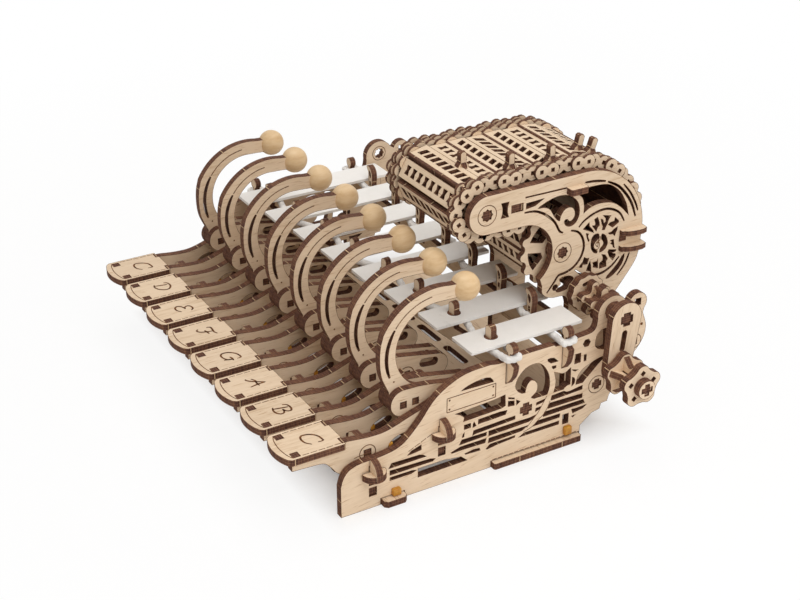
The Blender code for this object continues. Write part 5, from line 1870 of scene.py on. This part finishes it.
    def stations(self, pitch: float, phase: float) -> list[tuple[Pair, Pair]]:
        """Walk round the belt in even steps.

        Args:
            pitch: Wanted distance between steps.
            phase: Share of a step that the first one is moved by.

        Returns:
            Each place with the outward direction there.
        """
        path = self.path(0.0)
        closed = path + [path[0]]
        total = sum(math.dist(a, b) for a, b in zip(closed, closed[1:]))
        count = round(total / pitch)
        step = total / count
        found = []
        walked, target = 0.0, phase * step
        for a, b in zip(closed, closed[1:]):
            length = math.dist(a, b)
            while target < walked + length and len(found) < count:
                share = (target - walked) / length
                normal = ((a[1] - b[1]) / length, (b[0] - a[0]) / length)
                found.append(((a[0] + (b[0] - a[0]) * share, a[1] + (b[1] - a[1]) * share), normal))
                target += step
            walked += length
        return found

    def slat_holes(self, kind: int, low: float, high: float, length: float) -> list[Loop]:
        """Draw the eight slots of a slat.

        Args:
            kind: Which of the four slot shapes.
            low: Low X of the slotted field.
            high: High X of the slotted field.
            length: Length of the slat along the belt.

        Returns:
            The slots about the middle of the slat.
        """
        holes = []
        pitch = (high - low) / 8
        half = length / 2 - 2.6
        for index in range(8):
            x = low + pitch * (index + 0.5)
            lean = (1.2, -1.2, 0.0, 0.6)[kind]
            w = 1.55
            if kind == 2:
                holes.append([(x - w, -half), (x + w, -half), (x + w * 0.55, 0.0), (x + w, half), (x - w, half),
                              (x - w * 0.55, 0.0)])
            else:
                holes.append([(x - w - lean, -half), (x + w - lean, -half), (x + w + lean, half),
                              (x - w + lean, half)])
        return holes

    @staticmethod
    def by_gear(place: Pair) -> bool:
        """Tell whether a place of the belt lies beside the large gear of the drum."""
        return place[1] < 99.0 and place[0] < 147.0

    def belt(self) -> Piece:
        """Assemble the belt: slats, scalloped link plates on both sides, note pins and a painted-shade band inside the
        slats.
        """
        work = Workpiece()
        left, right = self.outer - self.width + PLY + 0.6, self.outer - PLY - 0.6
        for index, (place, normal) in enumerate(self.stations(self.slat_pitch, 0.5)):
            along = Vector((0.0, normal[1], -normal[0]))
            out = Vector((0.0, normal[0], normal[1]))
            lean = Matrix.Translation((0.0, place[0], place[1])) @ Matrix((
                (1.0, 0.0, 0.0, 0.0), (0.0, along.y, out.y, 0.0), (0.0, along.z, out.z, 0.0),
                (0.0, 0.0, 0.0, 1.0)))
            length = self.slat_pitch - 0.5
            kind = (0, 1, 2, 3, 2, 1)[index % 6]
            end = self.gear_side - 0.8 if self.by_gear(place) else right - 3.2
            field_low, field_high = left + 11.5, end - 1.8
            slat = box(left + 9.0, -length / 2, end, length / 2)
            lift = 0.75 if index % 2 else 0.35
            work.plate([slat] + self.slat_holes(kind, field_low, field_high, length), 2.1, Plane.Z, lift,
                       grain=0.0, rim=0.16, lean=lean)
            if index % 2:
                work.plate([box(left + 8.0, -length / 2 - 1.0, end + 0.2, -length / 2 + 0.2)], 3.2, Plane.Z, 0.2,
                           lean=lean, **END_GRAIN)
        # Painted shade: a thin band in the dark burnt-edge finish just inside the slats, so that their slots read dark
        # like the shaded inside of the belt.
        work.plate([self.path(-1.3), self.path(-1.9)], self.gear_side - left - 12.0, Plane.X,
                   (self.gear_side + left + 10.0) / 2, **END_GRAIN)
        layers = ((left + 1.5, 0.0), (left + 4.6, 0.5), (left + 7.6, 0.0), (right - 1.4, 0.25), (right - 4.4, 0.75))
        for x, phase in layers:
            self.links(work, x, phase)
        top = self.belt_roller + self.roller[1] + 1.8
        shape = [(-3.4, -2.6), (3.4, -2.6), (2.6, 1.0), (1.5, 2.4), (1.5, 6.6), (0.6, 7.3), (-0.6, 7.3),
                 (-1.5, 6.6), (-1.5, 2.4), (-2.6, 1.0)]
        for x, y, tilt in self.pins:
            about = Matrix.Translation((0.0, self.belt_back[0], self.belt_back[1]))
            lean = about @ Matrix.Rotation(math.radians(-tilt), 4, "X") @ about.inverted()
            work.plate([[(y + u, top + v) for u, v in shape]], THIN_PLY, Plane.X, x, grain=90.0, lean=lean)
            work.plate([[(x + u * 0.96, top + v - 0.1) for u, v in shape]], 2.5, Plane.Y, y, grain=90.0, lean=lean)
        return self.shop.cut(work, "slatted_belt", (155.6, 125.0, 100.0))

    def links(self, work: Workpiece, x: float, phase: float) -> None:
        """Cut one ring of link plates of the belt.

        Args:
            work: The belt.
            x: Middle of the ring along X.
            phase: Share of a link that it is moved by.
        """
        right = x > self.outer - self.width / 2
        for index, (place, normal) in enumerate(self.stations(self.slat_pitch, phase)):
            if right and self.by_gear(place):
                continue
            along = (normal[1], -normal[0])
            outline = []
            for end in (-1, 1):
                outline += [(end * (2.9 + 3.5 * math.cos(math.radians(angle))),
                             end * 3.5 * math.sin(math.radians(angle))) for angle in range(-110, 111, 22)]
                outline.append((0.0, end * 2.0))
            loops = [outline] + [box(a - 0.8, -0.7, a + 0.8, 0.9) for a in (-3.0, 3.0)]
            placed = [[(place[0] + along[0] * a + normal[0] * b, place[1] + along[1] * a + normal[1] * b)
                       for a, b in loop] for loop in loops]
            work.plate(placed, 1.4, Plane.X, x + (0.7 if index % 2 else -0.7), rim=0.16)

    def wheels(self, name: str, centre: Pair, span: Pair, radius: float, teeth: int, places: Pair,
               gear_at: float | None) -> Piece:
        """Assemble the roller or the drum.

        Args:
            name: Name of the piece.
            centre: Y and Z of its axle.
            span: Low and high X of its axle.
            radius: Mean radius of its wheels.
            teeth: Teeth of its wheels.
            places: X of its wheels.
            gear_at: X of the driven gear, or None.

        Returns:
            The piece.
        """
        work = Workpiece()
        u, v = centre
        work.plate([circle(u, v, 2.2, 16)], span[1] - span[0], Plane.X, (span[0] + span[1]) / 2, **END_GRAIN)
        for x in places:
            windows = []
            for index in range(5):
                start = 72.0 * index
                if radius > 8:
                    windows.append(arc(u, v, radius - 2.2, start + 8, start + 60, 5)
                                   + arc(u, v, 4.4, start + 54, start + 14, 3))
                else:
                    windows.append(circle(u + 4.8 * math.cos(math.radians(start)),
                                          v + 4.8 * math.sin(math.radians(start)), 0.9, 8))
            work.plate([gear(u, v, radius, 0.7, teeth)] + windows, PLY, Plane.X, x)
            for side in (-1, 1):
                work.plate([circle(u, v, 4.0, 20)], 1.2, Plane.X, x + side * (PLY / 2 + 0.6))
        if gear_at is not None:
            centres = math.dist(self.drum, self.crank)
            towards = math.atan2(self.crank[1] - v, self.crank[0] - u)
            mean = centres * 14 / 22 - 0.3
            windows = []
            for index in range(5):
                start = 72.0 * index + 10.0
                windows.append(arc(u, v, mean - 3.4, start + 6, start + 58, 6)
                               + arc(u, v, 4.9, start + 50, start + 14, 3))
            work.plate([gear(u, v, mean, 1.1, 14, towards)] + windows, PLY, Plane.X, gear_at)
            work.plate([circle(u, v, 4.4, 20)], 1.4, Plane.X, gear_at + PLY / 2 + 0.7)
            windows = [arc(u, v, 14.4, 60.0 * index, 60.0 * index + 38, 5)
                       + arc(u, v, 7.4, 60.0 * index + 30, 60.0 * index + 10, 3) for index in range(6)]
            work.plate([gear(u, v, 17.6, 1.2, 14, 0.1)] + windows, 2.6, Plane.X, self.gear_side + 1.4)
            work.plate([circle(u, v, 5.0, 20)], 1.2, Plane.X, self.gear_side + 3.3)
        return self.shop.cut(work, name, ((span[0] + span[1]) / 2, u, v))

    def build(self) -> None:
        """Build the cassette."""
        place = self.shop.place
        left = self.outer - self.width
        place(self.plate("scrolled_left_plate", left), "frame", "birch", "left_cassette_plate")
        right = self.plate("scrolled_right_plate", self.outer - PLY)
        place(right, "frame", "birch", "right_cassette_plate")
        place(self.ties(), "frame", "birch")
        place(self.belt(), "frame", "birch", "programme_belt")
        place(self.wheels("toothed_roller", self.roller, (left + 0.3, self.outer - 0.3), 7.2, 8, (138.0, 172.0), None),
              "roller", "birch", "front_roller")
        place(self.wheels("belt_drum_wheels", self.drum, (left - 19.6, self.outer - 0.3), 10.4, 12, (140.0, 172.0),
                          left - 16.6), "drum", "birch", "belt_drum")


@dataclass
class CrankDrive:
    """The crank: a shaft with a pinion and a star lantern, its arm and a lobed handle."""

    shop: Shop
    axis: Pair = (135.9, 63.4)
    drum: Pair = (125.1, 84.1)
    low: float = 103.0
    panel_outer: float = 213.9
    arm_outer: float = 224.4
    handle: Pair = (133.2, 38.2)
    handle_end: float = 247.2

    def shaft(self) -> Piece:
        """Assemble the shaft with its pinion and lantern."""
        work = Workpiece()
        y, z = self.axis
        high = self.arm_outer - 0.6
        work.plate([cross(y, z, 2.4, 3.0)], high - self.low, Plane.X, (self.low + high) / 2, **END_GRAIN)
        centres = math.dist(self.drum, self.axis)
        towards = math.atan2(self.drum[1] - z, self.drum[0] - y)
        pinion = gear(y, z, centres * 8 / 22 - 0.3, 1.1, 8, towards + math.pi / 8)
        work.plate([pinion] + [circle(y + 4.6 * math.cos(a), z + 4.6 * math.sin(a), 1.0, 8)
                               for a in (0.3, 1.87, 3.44, 5.01)], PLY, Plane.X, self.low + 3.0)
        holes = [slot((y + 5.4 * math.cos(a - 0.25), z + 5.4 * math.sin(a - 0.25)),
                      (y + 5.4 * math.cos(a + 0.25), z + 5.4 * math.sin(a + 0.25)), 1.5, 4)
                 for a in (0.2, 1.77, 3.34, 4.91)]
        work.plate([gear(y, z, 9.0, 0.3, 12)] + holes, PLY, Plane.X, 193.2)
        turn = 0.4
        holes = [circle(y + 4.6 * math.cos(turn + a), z + 4.6 * math.sin(turn + a), 0.8, 8)
                 for a in (0.0, 1.257, 2.513, 3.77, 5.027)]
        for x in (199.4, 206.4):
            work.plate([gear(y, z, 6.8, 1.8, 5, turn, 12)] + holes, PLY, Plane.X, x)
        for step in range(5):
            angle = 0.4 + step * 2 * math.pi / 5
            inner, outer = 2.6, 7.4
            blade = [(198.0, inner), (207.4, inner), (207.4, outer - 0.6), (205.0, outer), (202.9, outer - 2.4),
                     (200.6, outer), (198.0, outer - 0.6)]
            lean = (Matrix.Translation((0.0, y, z)) @ Matrix.Rotation(angle, 4, "X"))
            work.plate([blade], 1.6, Plane.Z, 0.0, lean=lean)
        work.plate([gear(y, z, 4.5, 0.25, 10)], 5.6, Plane.X, self.panel_outer + 3.4)
        return self.shop.cut(work, "crank_shaft_lantern", (self.panel_outer, y, z))

    def arm(self) -> Piece:
        """Cut the crank arm with its square hole, slot and handle pin."""
        work = Workpiece()
        y, z = self.axis
        hy, hz = self.handle
        tilt = math.degrees(math.atan2(hz - z, hy - y))
        upper = arc(y, z, 8.2, tilt + 90, tilt + 270, 22)
        lower = arc(hy, hz, 7.0, tilt - 90, tilt + 90, 20)
        along = [(y + (hy - y) * share, z + (hz - z) * share) for share in (0.27, 0.58)]
        work.plate([upper + lower, cross(y, z, 3.2, 3.6), slot(along[0], along[1], 2.6, 6)], PLY, Plane.X,
                   self.arm_outer - PLY / 2, grain=80.0)
        work.plate([cross(hy, hz, 1.75, 2.2)], self.handle_end - self.arm_outer - 2.6, Plane.X,
                   (self.handle_end + self.arm_outer - 4.0) / 2, **END_GRAIN)
        return self.shop.cut(work, "cut_crank_arm", (self.panel_outer, y, z))

    def grip(self) -> Piece:
        """Assemble the handle: two lobed flanges, crossed waisted plates and a hub."""
        work = Workpiece()
        y, z = self.handle
        near, far = self.arm_outer + 1.2, self.handle_end - 9.4
        bore = circle(y, z, 2.3, 14)
        squares = []
        for step in range(5):
            angle = 0.3 + step * 2 * math.pi / 5
            squares.append([(y + 6.6 * math.cos(angle) + a, z + 6.6 * math.sin(angle) + b)
                            for a, b in ((1.3, 0.0), (0.0, 1.3), (-1.3, 0.0), (0.0, -1.3))])
        for x in (near + PLY / 2, far + PLY / 2):
            work.plate([gear(y, z, 9.4, 1.0, 5, 0.3, 14), bore] + squares, PLY, Plane.X, x)
        for step in range(5):
            angle = 0.3 + step * 2 * math.pi / 5
            blade = smooth([(near + 3.4, 9.4), (near + 5.0, 8.0), ((near + far + PLY) / 2, 5.6), (far - 1.4, 8.0),
                            (far + 0.2, 9.4)], 4)
            blade = [(near + 3.4, 2.4)] + blade + [(far + 0.2, 2.4)]
            lean = Matrix.Translation((0.0, y, z)) @ Matrix.Rotation(angle, 4, "X")
            work.plate([blade], THIN_PLY, Plane.Z, 0.0, lean=lean)
        end = self.handle_end - 3.0
        work.plate([circle(y, z, 4.6, 24), bore], end - far - PLY, Plane.X, (end + far + PLY) / 2)
        work.plate([circle(y, z, 4.6, 24), cross(y, z, 2.9, 2.3)], 0.9, Plane.X, end + 0.46)
        work.plate([circle(y, z, 2.25, 12)], 0.3, Plane.X, end + 0.16, **END_GRAIN)
        return self.shop.cut(work, "lobed_handle", (self.handle_end, y, z))

    def build(self) -> None:
        """Build the crank."""
        place = self.shop.place
        place(self.shaft(), "crank", "birch", "crank_shaft")
        place(self.arm(), "crank", "birch", "crank_arm")
        place(self.grip(), "handle", "birch", "crank_handle")


@dataclass
class Studio:
    """White table, soft lamps and the camera."""

    eye: Triple = (0.57244, -0.32741, 0.39182)
    back: Triple = (0.7623, -0.4464, 0.4687)
    lens: float = 69.09
    table: float = 9.0
    shade_middle: Pair = (-0.010, 0.0)
    shade_half: Pair = (0.106, 0.074)

    def daylight(self, tree: Tree) -> Socket:
        """Fade the white of the table under the object, so that its own shadow shows there.

        Args:
            tree: Node tree of the table.

        Returns:
            How white the table is: low under the object, high in the open.
        """
        place = Shader.node(tree, "ShaderNodeTexCoord").outputs["Object"]
        parts = Shader.node(tree, "ShaderNodeSeparateXYZ", place)
        sides = []
        for part, middle, half in zip(parts.outputs, self.shade_middle, self.shade_half):
            away = Shader.reckon(tree, "ABSOLUTE", Shader.reckon(tree, "SUBTRACT", part, middle))
            sides.append(Shader.reckon(tree, "SUBTRACT", away, half))
        reach = Shader.join(tree, "MAXIMUM", *sides)
        near = Shader.spread(tree, reach, From_Min=-0.016, From_Max=0.012, To_Min=0.14, To_Max=0.9)
        far = Shader.spread(tree, reach, From_Min=0.03, From_Max=0.4, To_Min=0.0, To_Max=0.1)
        return Shader.join(tree, "ADD", near, far)

    def floor(self) -> None:
        """Lay the white table, which keeps a soft shadow."""
        mesh = bpy.data.meshes.new("table_top")
        half = self.table / 2
        mesh.from_pydata([(-half, -half, 0.0), (half, -half, 0.0), (half, half, 0.0), (-half, half, 0.0)], [],
                         [(0, 1, 2, 3)])
        made = bpy.data.objects.new("table_top", mesh)
        made.location.z = -0.00005
        bpy.context.scene.collection.objects.link(made)
        paper, tree = Shader("white_paper").start()
        speck = Shader.node(tree, "ShaderNodeTexNoise", Scale=900.0, Detail=2.0).outputs["Fac"]
        base = Shader.ramp(tree, speck, [(0.3, (249, 249, 249)), (0.7, (253, 253, 253))])
        Shader.dress(tree, base, Roughness=0.9, Specular_IOR_Level=0.1)
        glow = Shader.node(tree, "ShaderNodeEmission", Strength=1.0)
        seen = Shader.node(tree, "ShaderNodeLightPath").outputs["Is Camera Ray"]
        mix = Shader.node(tree, "ShaderNodeMixShader", Shader.join(tree, "MULTIPLY", seen, self.daylight(tree)),
                          tree.nodes["Principled BSDF"].outputs[0], glow.outputs[0])
        tree.links.new(mix.outputs[0], tree.nodes["Material Output"].inputs["Surface"])
        mesh.materials.append(paper)

    def world(self) -> None:
        """Fill the room with even light, white where the camera sees it."""
        world = bpy.data.worlds.new("white_room")
        world.use_nodes = True
        tree = world.node_tree
        light = tree.nodes["Background"]
        light.inputs["Color"].default_value = (1.0, 0.91, 0.81, 1.0)
        light.inputs["Strength"].default_value = 0.42
        seen = Shader.node(tree, "ShaderNodeBackground", Strength=1.0)
        seen.inputs["Color"].default_value = (1.0, 1.0, 1.0, 1.0)
        ray = Shader.node(tree, "ShaderNodeLightPath").outputs
        first = Shader.join(tree, "MAXIMUM", ray["Is Camera Ray"], ray["Is Glossy Ray"])
        second = Shader.join(tree, "MAXIMUM", first, ray["Is Transmission Ray"])
        mix = Shader.node(tree, "ShaderNodeMixShader", second, light.outputs[0], seen.outputs[0])
        tree.links.new(mix.outputs[0], tree.nodes["World Output"].inputs["Surface"])
        bpy.context.scene.world = world

    def lamp(self, name: str, place: Triple, size: float, power: float) -> None:
        """Hang one soft lamp that looks at the object.

        Args:
            name: Name of the lamp.
            place: Where it hangs, in metres.
            size: Side of its square.
            power: Power in watts.
        """
        data = bpy.data.lights.new(name, "AREA")
        data.shape = "SQUARE"
        data.size = size
        data.energy = power
        made = bpy.data.objects.new(name, data)
        made.location = place
        made.rotation_euler = (Vector((0.0, 0.0, 0.05)) - Vector(place)).to_track_quat("-Z", "Y").to_euler()
        bpy.context.scene.collection.objects.link(made)

    def camera(self) -> None:
        """Set the camera at the photograph's viewing angle."""
        data = bpy.data.cameras.new("camera")
        data.lens = self.lens
        data.sensor_width = 36.0
        made = bpy.data.objects.new("camera", data)
        made.location = self.eye
        made.rotation_euler = (-Vector(self.back)).to_track_quat("-Z", "Y").to_euler()
        bpy.context.scene.collection.objects.link(made)
        bpy.context.scene.camera = made

    def build(self) -> None:
        """Set up the studio."""
        self.camera()
        self.floor()
        self.world()
        self.lamp("key_lamp", (0.52, 0.02, 0.6), 0.6, 2.7)
        self.lamp("top_lamp", (-0.2, 0.1, 1.3), 1.2, 6.9)
        bpy.context.scene.view_settings.view_transform = "Standard"


def write_sizes() -> None:
    """Update the view layer."""
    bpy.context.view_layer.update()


def main() -> None:
    """Build the studio and every sub-assembly in order."""
    logging.basicConfig(level=logging.INFO, format="%(name)s: %(message)s")
    Studio().build()
    shop = Shop(Datum.read(), Finishes.make())
    deck = BarDeck(shop)
    for assembly in (Keyboard(shop), HammerRow(shop), deck, SideFrame(shop, deck), Cassette(shop),
                     CrankDrive(shop)):
        log.info("building %s", type(assembly).__name__)
        assembly.build()
    write_sizes()


if __name__ == "__main__":
    main()
